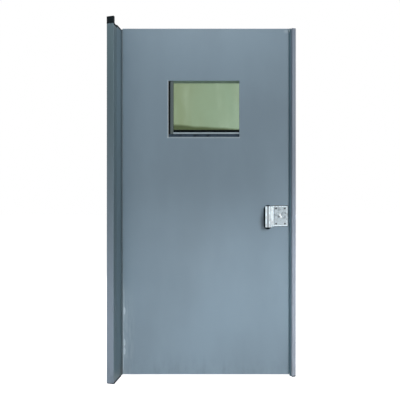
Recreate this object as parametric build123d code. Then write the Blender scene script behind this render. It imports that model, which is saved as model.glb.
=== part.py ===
"""Bullet-resistant steel door: an armoured leaf on a full-height hinge between two welded jambs.

The leaf is a pair of steel skins over an armour core, with a thick glazed panel and a paddle latch.
Frame of the model: +Z up, the floor at z = 0, the leaf's front face at y = 0 and the room that
faces it on the -Y side. x = 0 is the wall face of the hinge jamb. All sizes are in millimetres.
"""

import os
from math import atan2, degrees, hypot

from build123d import *

# Leaf
leaf_width = 1010.0
leaf_height = 2100.0
undercut = 6.0
skin = 3.0
core_thickness = 44.0
channel_depth = 25.0
channel_wall = 3.0
skin_arris = 2.0

# Hinge side of the frame: a deep jamb with a square post in front of it
hinge_face = 45.0
hinge_gap = 6.0
hinge_return = 85.0
post_depth = 61.0
post_splay = 14.0
post_drop = 10.0
hinge_wall = 4.0
cap_height = 42.0
cap_plate = 18.0
cap_lid = 4.0

# Lock side of the frame: a slim jamb with a splayed nose
lock_gap = 5.0
nose_rise = 30.0
nose_splay = 15.0
lock_face = 22.0
lock_face_fall = 8.0
lock_wall = 3.0

# Stops behind the leaf, shared by both jambs and the head rail
stop_clearance = 8.0
stop_depth = 45.0
hinge_stop_overlap = 14.0
lock_stop_overlap = 18.0
head_rail_height = 51.0
leaf_over_head = 7.0
head_rail_wall = 3.0
bend_radius = 3.0
end_plate = 3.0
seal_thickness = 3.0
seal_width = 10.0

# Wall anchors
anchor_radius = 7.0
anchor_overcut = 1.0
anchor_heights = (200.0, 750.0, 1350.0, 1900.0)

# Full-height hinge
knuckle_radius = 5.0
knuckle_count = 13
knuckle_gap = 0.6
knuckle_wall_gap = 0.8
knuckle_leaf_gap = 1.0
hinge_end_gap = 10.0
hinge_plate = 2.5
hinge_plate_depth = 40.0
hinge_pin_radius = 2.5
running_gap = 0.05

# Glazed panel
window_offset = 279.0
window_sill = 1442.0
window_width = 431.0
window_height = 341.0
glass_setback = 18.0
glass_thickness = 28.0
glass_lip = 12.0
glass_gap = 2.0
bead_setback = 6.0
gasket_setback = 12.0
side_gasket = 11.0
side_bead = 18.0
sill_gasket = 19.0
sill_bead = 10.0
glass_seal = 12.0
back_frame_cover = 20.0
back_frame_bite = 15.0
back_frame_thickness = 5.0

# Latch on the front face
lock_height = 962.0
plate_width = 83.0
plate_height = 124.0
plate_thickness = 9.0
plate_chamfer = 2.0
plate_rim = 6.0
plate_recess = 1.5
plate_edge_gap = 6.0
ear_height = 8.0
ear_gap = 1.0
hub_radius = 5.5
hub_plate_gap = 1.0
hub_setback = 20.0
paddle_pin_radius = 2.5
paddle_height = 126.0
paddle_drop = 4.0
paddle_reach = 41.0
paddle_standoff = 36.0
paddle_bead_radius = 6.0
paddle_ridge_reach = 20.0
paddle_web = 6.0
paddle_ear_gap = 2.5

# Thumb turn
turn_offset = 39.0
turn_rise = 1.0
rose_radius = 17.0
rose_thickness = 3.0
spindle_radius = 6.0
turn_length = 32.0
turn_width = 13.0
turn_projection = 15.0
turn_gap = 0.5
turn_tilt = 20.0
turn_round = 4.0

# Latch bolt, its faceplate on the leaf's edge and the strike on the jamb
faceplate_width = 25.0
faceplate_height = 180.0
strike_height = 120.0
edge_plate = 2.0
bolt_width = 13.0
bolt_height = 21.0
bolt_length = 20.0
bolt_gap = 0.5
strike_gap = 2.0

# Key side of the latch on the back face
back_plate_width = 50.0
back_plate_thickness = 6.0
key_cylinder_radius = 15.0
key_cylinder_length = 9.0
keyway_width = 3.0
keyway_height = 14.0
keyway_depth = 5.0

# Places worked out from the sizes above
leaf_left = hinge_face + hinge_gap
leaf_right = leaf_left + leaf_width
leaf_bottom = undercut
leaf_top = leaf_bottom + leaf_height
leaf_back = 2 * skin + core_thickness
core_front = skin
core_back = skin + core_thickness
leaf_middle = leaf_back / 2

stop_front = leaf_back + stop_clearance
stop_back = stop_front + stop_depth
stop_middle = stop_front + stop_depth / 2
hinge_stop_edge = leaf_left + hinge_stop_overlap
lock_stop_edge = leaf_right - lock_stop_overlap
lock_return = leaf_right + lock_gap
nose_left = lock_return + nose_splay
lock_wall_face = nose_left + lock_face
post_front = -hinge_return - post_depth
frame_height = leaf_top - leaf_over_head
post_top = frame_height - post_drop
head_bottom = frame_height - head_rail_height

window_left = leaf_left + window_offset
window_right = window_left + window_width
window_bottom = leaf_bottom + window_sill
window_top = window_bottom + window_height
glass_front = glass_setback
glass_back = glass_front + glass_thickness
glass_left = window_left + glass_gap
glass_right = window_right + glass_lip
glass_top = window_top + glass_lip
pocket_right = glass_right + glass_gap
pocket_top = glass_top + glass_gap

hinge_x = hinge_face + knuckle_wall_gap + knuckle_radius
hinge_y = -knuckle_leaf_gap - knuckle_radius
hinge_bottom = leaf_bottom + hinge_end_gap
hinge_top = frame_height - hinge_end_gap

lock_z = leaf_bottom + lock_height
plate_right = leaf_right - plate_edge_gap
plate_left = plate_right - plate_width
plate_low = lock_z - plate_height / 2
plate_high = lock_z + plate_height / 2
hub_x = plate_left - hub_plate_gap - hub_radius
hub_y = -hub_setback
plate_field = plate_recess - plate_thickness
turn_x = plate_left + turn_offset
turn_z = lock_z + turn_rise


def block(x_span, y_span, z_span):
    """A box between a low and a high value on each axis."""
    spans = (x_span, y_span, z_span)
    centre = [(low + high) / 2 for low, high in spans]
    return Pos(*centre) * Box(*[high - low for low, high in spans])


def outline(points):
    """A flat face with straight sides through the points, on the floor plane."""
    return make_face(Polyline(*points, close=True))


def upright(face, low, high):
    """The face raised into a prism from one height to another."""
    return extrude(Pos(0, 0, low) * face, amount=high - low, dir=(0, 0, 1))


def folded(points, wall, low, high):
    """A hollow upright section with rounded outer corners."""
    plain = outline(points)
    outer = fillet(plain.vertices(), radius=min(bend_radius, 0.9 * wall))
    return upright(outer, low, high) - upright(inside(points, wall), low, high)


def inside(points, wall):
    """The open space inside a hollow section."""
    return offset(outline(points), amount=-wall, kind=Kind.INTERSECTION)


def upright_rod(x, y, radius, low, high):
    """A round bar standing along Z."""
    return Pos(x, y, (low + high) / 2) * Cylinder(radius, high - low)


def rod_through_leaf(x, z, radius, front, back):
    """A round bar lying along Y."""
    return Pos(x, (front + back) / 2, z) * Rot(X=90) * Cylinder(radius, back - front)


def rod_across(y, z, radius, left, right):
    """A round bar lying along X."""
    return Pos((left + right) / 2, y, z) * Rot(Y=90) * Cylinder(radius, right - left)


def along(start, end, distance):
    """The point of the plan that lies a distance from one point towards another."""
    share = distance / hypot(end[0] - start[0], end[1] - start[1])
    return (start[0] + share * (end[0] - start[0]), start[1] + share * (end[1] - start[1]))


def upright_web(start, end, thickness, low, high):
    """A flat wall standing along Z from one point of the plan to another."""
    run = (end[0] - start[0], end[1] - start[1])
    middle = ((start[0] + end[0]) / 2, (start[1] + end[1]) / 2, (low + high) / 2)
    wall = Box(hypot(*run), thickness, high - low)
    return Pos(*middle) * Rot(Z=degrees(atan2(run[1], run[0]))) * wall


post_plan = [
    (0, post_front + post_splay),
    (hinge_face, post_front),
    (hinge_face, -hinge_return),
    (0, -hinge_return),
]
hinge_jamb_plan = [
    (0, -hinge_return),
    (hinge_face, -hinge_return),
    (hinge_face, stop_front),
    (hinge_stop_edge, stop_front),
    (hinge_stop_edge, stop_back),
    (0, stop_back),
]
lock_jamb_plan = [
    (lock_return, 0),
    (nose_left, -nose_rise),
    (lock_wall_face, lock_face_fall - nose_rise),
    (lock_wall_face, stop_back),
    (lock_stop_edge, stop_back),
    (lock_stop_edge, stop_front),
    (lock_return, stop_front),
]


def anchor_holes(left, right):
    """The bolt holes that run through a jamb into the wall beside it."""
    span = (left - anchor_overcut, right + anchor_overcut)
    return [rod_across(stop_middle, z, anchor_radius, *span) for z in anchor_heights]


def make_hinge_post():
    """The square post that stands in front of the hinge jamb, with a splayed face."""
    return folded(post_plan, hinge_wall, 0, post_top)


def make_post_cap():
    """The dark cap on the post: a thin lid with a plate that stands up along its front."""
    left_front, right_front = post_plan[:2]
    plate = outline(
        [
            left_front,
            right_front,
            (right_front[0], right_front[1] + cap_plate),
            (left_front[0], left_front[1] + cap_plate),
        ]
    )
    lid = upright(outline(post_plan), post_top, post_top + cap_lid)
    return lid + upright(plate, post_top, post_top + cap_height)


def make_hinge_jamb():
    """The jamb that carries the hinge, with its stop behind the leaf."""
    jamb = folded(hinge_jamb_plan, hinge_wall, 0, frame_height)
    return jamb - anchor_holes(0, hinge_stop_edge)


def make_lock_jamb():
    """The jamb that the latch closes into, let in for the strike, with a pocket behind it."""
    jamb = folded(lock_jamb_plan, lock_wall, 0, frame_height) - strike_outline()
    pocket = block(
        (lock_return - lock_wall, lock_return + 2 * lock_wall),
        centred(leaf_middle, bolt_width + 2 * strike_gap),
        centred(lock_z, bolt_height + 2 * strike_gap),
    )
    return jamb - anchor_holes(lock_stop_edge, lock_wall_face) - pocket


def strike_outline():
    """The plain plate that the strike is cut from, which is also its place in the jamb."""
    return block(
        (lock_return, lock_return + edge_plate),
        centred(leaf_middle, faceplate_width),
        centred(lock_z, strike_height),
    )


def centred(middle, width):
    """The low and high values of a span about its middle."""
    return (middle - width / 2, middle + width / 2)


def make_end_plate(points, wall, low):
    """A flat plate welded inside the end of a hollow jamb."""
    return upright(inside(points, wall), low, low + end_plate)


def make_head_rail():
    """The hollow rail that ties the jambs together behind the top of the leaf."""
    length = (hinge_stop_edge, lock_stop_edge)
    wall = head_rail_wall
    bore = block(
        length,
        (stop_front + wall, stop_back - wall),
        (head_bottom + wall, frame_height - wall),
    )
    return block(length, (stop_front, stop_back), (head_bottom, frame_height)) - bore


def make_seal(x_span, z_span):
    """A flat rubber strip on the front of a stop."""
    return block(x_span, (stop_front - seal_thickness, stop_front), z_span)


def make_hinge_half(first, plate_span):
    """One half of the full-height hinge: a plate and every second knuckle."""
    pitch = (hinge_top - hinge_bottom) / knuckle_count
    plate_front = hinge_y + knuckle_radius + knuckle_leaf_gap
    half = block(plate_span, (plate_front, plate_front + hinge_plate_depth), (hinge_bottom, hinge_top))
    for index in range(first, knuckle_count, 2):
        low = hinge_bottom + index * pitch + knuckle_gap / 2
        high = low + pitch - knuckle_gap
        half += upright_rod(hinge_x, hinge_y, knuckle_radius, low, high)
        half += block(plate_span, (hinge_y, plate_front), (low, high))
    return half - upright_rod(hinge_x, hinge_y, hinge_pin_radius + running_gap, hinge_bottom, hinge_top)


def window_hole(front, back, right, top):
    """The space that the glazed panel needs in a sheet or a board."""
    return block((window_left, right), (front, back), (window_bottom, top))


def make_front_skin():
    """The front sheet, cut out for the glass, with a rounded edge all round."""
    sheet = block((leaf_left, leaf_right), (0, skin), (leaf_bottom, leaf_top))
    sheet = fillet(sheet.faces().sort_by(Axis.Y)[0].edges(), radius=min(skin_arris, 0.9 * skin))
    return sheet - window_hole(0, skin, window_right, window_top)


def make_back_skin():
    """The back sheet, cut out to let the glass in."""
    sheet = block((leaf_left, leaf_right), (core_back, leaf_back), (leaf_bottom, leaf_top))
    sheet = fillet(sheet.faces().sort_by(Axis.Y)[-1].edges(), radius=min(skin_arris, 0.9 * skin))
    return sheet - window_hole(core_back, leaf_back, pocket_right, pocket_top)


def make_channel(x_span, z_span, trough):
    """A length of edge channel with its web outwards and its trough cut away."""
    depth = (core_front + channel_wall, core_back - channel_wall)
    return block(x_span, (core_front, core_back), z_span) - block(trough[0], depth, trough[1])


core_left = leaf_left + channel_depth
core_right = leaf_right - channel_depth
core_bottom = leaf_bottom + channel_depth
core_top = leaf_top - channel_depth
trough_height = (leaf_bottom + channel_wall, leaf_top - channel_wall)


def make_hinge_channel():
    """The upright channel along the hinge edge."""
    trough = ((leaf_left + channel_wall, core_left), trough_height)
    return make_channel((leaf_left, core_left), (leaf_bottom, leaf_top), trough)


def make_lock_channel():
    """The upright channel along the lock edge, cut for the latch bolt."""
    trough = ((core_right, leaf_right - channel_wall), trough_height)
    slot = block(
        (leaf_right - channel_wall, leaf_right),
        centred(leaf_middle, bolt_width + 2 * bolt_gap),
        centred(lock_z, bolt_height + 2 * bolt_gap),
    )
    return make_channel((core_right, leaf_right), (leaf_bottom, leaf_top), trough) - slot


def make_top_channel():
    """The channel along the top edge."""
    trough = ((core_left, core_right), (core_top, leaf_top - channel_wall))
    return make_channel((core_left, core_right), (core_top, leaf_top), trough)


def make_bottom_channel():
    """The channel along the bottom edge."""
    trough = ((core_left, core_right), (leaf_bottom + channel_wall, core_bottom))
    return make_channel((core_left, core_right), (leaf_bottom, core_bottom), trough)


def make_core(x_span, z_span):
    """One board of the armour core."""
    return block(x_span, (core_front, core_back), z_span)


def make_lip_seal():
    """The seal between the glass and the skin, along the top and the lock side."""
    depth = (skin, glass_front)
    top = block((glass_left, glass_right), depth, (window_top, glass_top))
    side = block((window_right, glass_right), depth, (window_bottom, glass_top))
    return top + side


def make_edge_gasket():
    """The black gasket round the hinge side and the bottom of the glass."""
    depth = (gasket_setback, glass_front)
    side = block((window_left, window_left + side_gasket), depth, (window_bottom, window_top))
    bottom = block((window_left, window_right), depth, (window_bottom, window_bottom + sill_gasket))
    return side + bottom


bead_left = window_left + side_gasket
bead_right = bead_left + side_bead
bead_bottom = window_bottom + sill_gasket
bead_top = bead_bottom + sill_bead


def make_bead(x_span, z_span):
    """A painted glazing bar on the face of the glass."""
    return block(x_span, (bead_setback, glass_front), z_span)


def make_glass():
    """The thick laminated pane."""
    return block((glass_left, glass_right), (glass_front, glass_back), (window_bottom, glass_top))


def ring(x_span, y_span, z_span, margin_in, margin_out):
    """A flat rectangular ring about an outline."""
    outer = block(
        (x_span[0] - margin_out, x_span[1] + margin_out),
        y_span,
        (z_span[0] - margin_out, z_span[1] + margin_out),
    )
    inner = block(
        (x_span[0] + margin_in, x_span[1] - margin_in),
        y_span,
        (z_span[0] + margin_in, z_span[1] - margin_in),
    )
    return outer - inner


def make_back_gasket():
    """The gasket between the glass and the frame on the back of the leaf."""
    pane = ((glass_left, glass_right), (window_bottom, glass_top))
    return ring(pane[0], (glass_back, leaf_back), pane[1], back_frame_bite, 0)


def make_back_frame():
    """The frame on the back of the leaf that holds the glass in."""
    pane = ((glass_left, glass_right), (window_bottom, glass_top))
    depth = (leaf_back, leaf_back + back_frame_thickness)
    return ring(pane[0], depth, pane[1], back_frame_bite, back_frame_cover)


def make_lock_plate():
    """The bright plate of the latch: a flat field, a raised rim on three sides and two ears for the pin."""
    plate = block((plate_left, plate_right), (-plate_thickness, 0), (plate_low, plate_high))
    front_edges = plate.faces().sort_by(Axis.Y)[0].edges()
    plate = chamfer(front_edges, length=min(plate_chamfer, 0.9 * plate_thickness))
    plate -= block(
        (plate_left, plate_right - plate_rim),
        (-plate_thickness, plate_field),
        (plate_low + plate_rim, plate_high - plate_rim),
    )
    ear_front = hub_y - hub_radius
    ear_left = hub_x - hub_radius
    ears = [(plate_low, plate_low + ear_height), (plate_high - ear_height, plate_high)]
    for low, high in ears:
        plate += block((hub_x, plate_left + plate_chamfer), (ear_front, 0), (low, high))
        plate += block((ear_left, hub_x), (hub_y, 0), (low, high))
        plate += upright_rod(hub_x, hub_y, hub_radius, low, high)
    plate -= upright_rod(hub_x, hub_y, paddle_pin_radius, plate_low, plate_high)
    return plate - rod_through_leaf(turn_x, turn_z, spindle_radius + running_gap, -plate_thickness, 0)


def make_paddle_pin():
    """The pin that the paddle turns on."""
    return upright_rod(hub_x, hub_y, paddle_pin_radius, plate_low, plate_high)


def make_paddle():
    """The fluted paddle that is pulled to draw the latch, with a tall web up to the ears."""
    low, high = centred(lock_z - paddle_drop, paddle_height)
    hub_low = plate_low + ear_height + ear_gap
    hub_high = plate_high - ear_height - ear_gap
    edge = (hub_x - paddle_reach, -paddle_standoff)
    ridge = (hub_x - paddle_ridge_reach, -paddle_standoff)
    hub = (hub_x, hub_y)
    shoulder = along(hub, ridge, hub_radius + paddle_ear_gap)
    paddle = upright_web(edge, ridge, paddle_web, low, high)
    paddle += upright_rod(*edge, paddle_bead_radius, low, high)
    paddle += upright_rod(*ridge, paddle_bead_radius, low, high)
    paddle += upright_web(ridge, shoulder, paddle_web, low, high)
    paddle += upright_web(ridge, hub, paddle_web, hub_low, hub_high)
    paddle += upright_rod(*hub, hub_radius, hub_low, hub_high)
    return paddle - upright_rod(*hub, paddle_pin_radius + running_gap, hub_low, hub_high)


def make_turn_rose():
    """The round rose under the thumb turn."""
    depth = (plate_field - rose_thickness, plate_field)
    rose = rod_through_leaf(turn_x, turn_z, rose_radius, *depth)
    return rose - rod_through_leaf(turn_x, turn_z, spindle_radius + running_gap, *depth)


def make_thumb_turn():
    """The thumb turn: an oval grip on a round spindle."""
    grip_back = plate_field - rose_thickness - turn_gap
    grip = extrude(SlotOverall(turn_length, turn_width), amount=turn_projection)
    grip = fillet(grip.faces().sort_by(Axis.Z)[-1].edges(), radius=turn_round)
    grip = Pos(turn_x, grip_back, turn_z) * Rot(X=90) * Rot(Z=90 + turn_tilt) * grip
    return grip + rod_through_leaf(turn_x, turn_z, spindle_radius, grip_back, 0)


def make_faceplate():
    """The plate on the leaf's edge that the latch bolt comes out of."""
    depth = (leaf_right, leaf_right + edge_plate)
    plate = block(depth, centred(leaf_middle, faceplate_width), centred(lock_z, faceplate_height))
    return plate - block(
        depth,
        centred(leaf_middle, bolt_width + 2 * bolt_gap),
        centred(lock_z, bolt_height + 2 * bolt_gap),
    )


def make_bolt():
    """The latch bolt, drawn back level with its faceplate."""
    tip = leaf_right + edge_plate
    return block((tip - bolt_length, tip), centred(leaf_middle, bolt_width), centred(lock_z, bolt_height))


def make_strike():
    """The strike plate, let into the face of the lock jamb and open for the bolt."""
    return strike_outline() - block(
        (lock_return, lock_return + edge_plate),
        centred(leaf_middle, bolt_width + 2 * strike_gap),
        centred(lock_z, bolt_height + 2 * strike_gap),
    )


def make_back_plate():
    """The plate round the key cylinder on the back of the leaf."""
    plate = block(
        centred(turn_x, back_plate_width),
        (leaf_back, leaf_back + back_plate_thickness),
        (plate_low, plate_high),
    )
    rim = plate.faces().sort_by(Axis.Y)[-1].edges()
    return chamfer(rim, length=min(plate_chamfer, 0.9 * back_plate_thickness))


def make_key_cylinder():
    """The key cylinder on the back plate, with its keyway."""
    front = leaf_back + back_plate_thickness
    back = front + key_cylinder_length
    keyway = block(
        centred(turn_x, keyway_width),
        (back - keyway_depth, back),
        centred(turn_z, keyway_height),
    )
    return rod_through_leaf(turn_x, turn_z, key_cylinder_radius, front, back) - keyway


window_height_span = (window_bottom, pocket_top)
seal_height = (leaf_bottom, head_bottom)
frame_nodes = {
    "hinge_post": make_hinge_post(),
    "hinge_post_cap": make_post_cap(),
    "hinge_jamb": make_hinge_jamb(),
    "hinge_jamb_top": make_end_plate(hinge_jamb_plan, hinge_wall, frame_height - end_plate),
    "hinge_jamb_foot": make_end_plate(hinge_jamb_plan, hinge_wall, 0),
    "hinge_post_foot": make_end_plate(post_plan, hinge_wall, 0),
    "lock_jamb": make_lock_jamb(),
    "lock_jamb_top": make_end_plate(lock_jamb_plan, lock_wall, frame_height - end_plate),
    "lock_jamb_foot": make_end_plate(lock_jamb_plan, lock_wall, 0),
    "head_rail": make_head_rail(),
    "head_seal": make_seal((hinge_stop_edge, lock_stop_edge), (head_bottom, head_bottom + seal_width)),
    "hinge_side_seal": make_seal((hinge_stop_edge - seal_width, hinge_stop_edge), seal_height),
    "lock_side_seal": make_seal((lock_stop_edge, lock_stop_edge + seal_width), seal_height),
    "strike_plate": make_strike(),
    "hinge_frame_half": make_hinge_half(0, (hinge_face, hinge_face + hinge_plate)),
    "hinge_pin": upright_rod(hinge_x, hinge_y, hinge_pin_radius, hinge_bottom, hinge_top),
}
leaf_nodes = {
    "hinge_leaf_half": make_hinge_half(1, (leaf_left - hinge_plate, leaf_left)),
    "leaf_front_skin": make_front_skin(),
    "leaf_back_skin": make_back_skin(),
    "leaf_hinge_channel": make_hinge_channel(),
    "leaf_lock_channel": make_lock_channel(),
    "leaf_top_channel": make_top_channel(),
    "leaf_bottom_channel": make_bottom_channel(),
    "core_below_window": make_core((core_left, core_right), (core_bottom, window_bottom)),
    "core_above_window": make_core((core_left, core_right), (pocket_top, core_top)),
    "core_hinge_side": make_core((core_left, window_left), window_height_span),
    "core_lock_side": make_core((pocket_right, core_right), window_height_span),
    "window_glass": make_glass(),
    "window_lip_seal": make_lip_seal(),
    "window_edge_gasket": make_edge_gasket(),
    "window_side_bead": make_bead((bead_left, bead_right), (bead_bottom, window_top)),
    "window_sill_bead": make_bead((bead_right, window_right), (bead_bottom, bead_top)),
    "window_sill_gasket": block(
        (bead_right, window_right),
        (gasket_setback, glass_front),
        (bead_top, bead_top + glass_seal),
    ),
    "window_back_gasket": make_back_gasket(),
    "window_back_frame": make_back_frame(),
    "lock_plate": make_lock_plate(),
    "paddle_pin": make_paddle_pin(),
    "turn_rose": make_turn_rose(),
    "latch_faceplate": make_faceplate(),
    "latch_bolt": make_bolt(),
    "lock_back_plate": make_back_plate(),
    "key_cylinder": make_key_cylinder(),
}
moving_nodes = {
    "pull_paddle": make_paddle(),
    "thumb_turn": make_thumb_turn(),
}

os.makedirs("parts", exist_ok=True)
for nodes in (frame_nodes, leaf_nodes, moving_nodes):
    for name, solid in nodes.items():
        export_step(solid, f"parts/{name}.step")
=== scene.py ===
"""Dresses the bullet-resistant door: enamelled leaf and jambs, green glass, bright latch and studio."""

import logging
import math
from dataclasses import dataclass, replace
from enum import Enum
from typing import Callable, ClassVar, Iterable, Sequence

import bmesh
import bpy
from bmesh.types import BMesh, BMFace, BMVert
from bpy.types import Material, Node, NodeSocket, NodeTree, Object
from mathutils import Matrix, Vector


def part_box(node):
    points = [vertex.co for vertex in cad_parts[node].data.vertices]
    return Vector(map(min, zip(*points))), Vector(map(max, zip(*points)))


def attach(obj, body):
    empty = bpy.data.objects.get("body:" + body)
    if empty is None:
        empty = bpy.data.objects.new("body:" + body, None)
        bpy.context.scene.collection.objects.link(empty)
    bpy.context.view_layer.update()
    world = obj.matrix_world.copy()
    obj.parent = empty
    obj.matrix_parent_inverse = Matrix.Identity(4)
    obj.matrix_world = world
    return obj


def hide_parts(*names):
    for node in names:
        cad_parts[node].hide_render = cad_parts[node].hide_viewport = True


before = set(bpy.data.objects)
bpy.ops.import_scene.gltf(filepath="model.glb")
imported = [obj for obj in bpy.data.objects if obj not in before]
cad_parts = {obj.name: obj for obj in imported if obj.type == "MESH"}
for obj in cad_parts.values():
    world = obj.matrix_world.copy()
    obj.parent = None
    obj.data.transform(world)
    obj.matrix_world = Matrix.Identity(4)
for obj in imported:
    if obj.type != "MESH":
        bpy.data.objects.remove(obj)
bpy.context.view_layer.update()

TOUCH: float = 1e-6

log = logging.getLogger("door")

Colour = tuple[float, float, float]
Point = tuple[float, float, float]
Span = tuple[float, float]
Profile = tuple[Span, ...]

ORIGIN: Point = (0.0, 0.0, 0.0)
RISING: Span = (0.0, 1.0)
FALLING: Span = (1.0, 0.0)
WHITE: tuple[float, ...] = (1.0, 1.0, 1.0, 1.0)


class Body(Enum):
    """The bodies of the door that pieces ride on."""

    FRAME = "frame"
    LEAF = "leaf"
    TURN = "turn"


class Facing(Enum):
    """The way that a screw's head or a plate faces."""

    FRONT = (0.0, -1.0, 0.0)
    BACK = (0.0, 1.0, 0.0)
    LOCK_SIDE = (1.0, 0.0, 0.0)
    HINGE_SIDE = (-1.0, 0.0, 0.0)
    UP = (0.0, 0.0, 1.0)

    @property
    def turn(self) -> Matrix:
        """Returns the turn that takes +Z to this way."""
        return Vector((0, 0, 1)).rotation_difference(Vector(self.value)).to_matrix().to_4x4()


def node_box(name: str) -> tuple[Vector, Vector]:
    """Gives the lowest and highest corners of a CAD node, in metres."""
    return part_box(name)


class Graph:
    """A shader node tree with short ways to add nodes and links."""

    def __init__(self, tree: NodeTree) -> None:
        """Keeps the node tree of a material or of a group."""
        self.tree = tree

    def add(self, kind: str, inputs: dict | None = None, **settings: object) -> Node:
        """Adds a node.

        Args:
            kind: The node's type, such as ShaderNodeMath.
            inputs: Values or sockets for its inputs, by name or index.
            settings: Attributes of the node.

        Returns:
            The new node.
        """
        node = self.tree.nodes.new(kind)
        for name, value in settings.items():
            setattr(node, name, value)
        for key, value in (inputs or {}).items():
            self.put(node.inputs[key], value)
        return node

    def put(self, socket: NodeSocket, value: object) -> None:
        """Sets an input to a value, or links it to a socket.

        Args:
            socket: The input.
            value: A number, a tuple or an output socket.
        """
        if isinstance(value, NodeSocket):
            self.tree.links.new(value, socket)
        else:
            socket.default_value = value

    def math(self, operation: str, first: object, second: object = 0.0) -> NodeSocket:
        """Adds a plain operation on one or two values and gives its result."""
        node = self.add("ShaderNodeMath", {0: first, 1: second}, operation=operation)
        return node.outputs[0]

    def vector(self, operation: str, first: object, second: object) -> NodeSocket:
        """Adds a plain operation on two vectors and gives the resulting vector."""
        return self.add("ShaderNodeVectorMath", {0: first, 1: second}, operation=operation).outputs[0]

    def dot(self, first: object, second: object) -> NodeSocket:
        """Adds the dot product of two vectors and gives its value."""
        node = self.add("ShaderNodeVectorMath", {0: first, 1: second}, operation="DOT_PRODUCT")
        return node.outputs["Value"]

    def ramp(
        self, value: object, low: object, high: object, smooth: bool = True, ends: Span = RISING
    ) -> NodeSocket:
        """Maps a range of a value to a rise from 0 to 1, or to other ends.

        Args:
            value: The socket to map.
            low: The value that gives the first end.
            high: The value that gives the second end.
            smooth: Whether the ends are eased.
            ends: The two results.

        Returns:
            The mapped socket.
        """
        node = self.add(
            "ShaderNodeMapRange",
            {"Value": value, "From Min": low, "From Max": high, "To Min": ends[0], "To Max": ends[1]},
            interpolation_type="SMOOTHSTEP" if smooth else "LINEAR",
        )
        return node.outputs["Result"]

    def mix(self, amount: object, first: object, second: object) -> NodeSocket:
        """Blends two colours.

        Args:
            amount: 0 for the first and 1 for the second.
            first: A colour or socket.
            second: A colour or socket.

        Returns:
            The blended colour's socket.
        """
        node = self.add("ShaderNodeMix", data_type="RGBA")
        for index, value in ((0, amount), (6, first), (7, second)):
            self.put(node.inputs[index], rgba(value))
        return node.outputs[2]

    def noise(self, place: object, scale: object, detail: float, rough: float = 0.5) -> NodeSocket:
        """Adds fractal noise.

        Args:
            place: The coordinates.
            scale: Features in a metre.
            detail: Octaves.
            rough: How strong the fine octaves are.

        Returns:
            The noise value's socket.
        """
        node = self.add(
            "ShaderNodeTexNoise",
            {"Vector": place, "Scale": scale, "Detail": detail, "Roughness": rough},
        )
        return node.outputs[0]

    def axis(self, place: object, name: str) -> NodeSocket:
        """Gives the X, Y or Z of coordinates."""
        return self.add("ShaderNodeSeparateXYZ", {0: place}).outputs[name]

    def relief(self, height: NodeSocket, strength: float, depth: float, rounding: float) -> NodeSocket:
        """Adds a bumpy surface with softened edges.

        Args:
            height: The bumps' height, from 0 to 1.
            strength: How strong the bumps are.
            depth: How deep they are, in metres.
            rounding: The radius that edges are softened by, in metres.

        Returns:
            The normal's socket.
        """
        soft = self.add("ShaderNodeBevel", {"Radius": rounding}, samples=4)
        bump = self.add(
            "ShaderNodeBump",
            {"Strength": strength, "Distance": depth, "Height": height, "Normal": soft.outputs["Normal"]},
        )
        return bump.outputs["Normal"]

    def stretched(self, place: object, scale: Sequence[float]) -> NodeSocket:
        """Scales coordinates by a factor on each axis."""
        return self.add("ShaderNodeMapping", {"Vector": place, "Scale": tuple(scale)}).outputs[0]


def rgba(value: object) -> object:
    """Adds the alpha that a colour input needs.

    Args:
        value: A colour of three numbers, or anything else.

    Returns:
        The colour with four numbers, or the value as it was.
    """
    if isinstance(value, tuple) and len(value) == 3:
        return (*value, 1.0)
    return value


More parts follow.
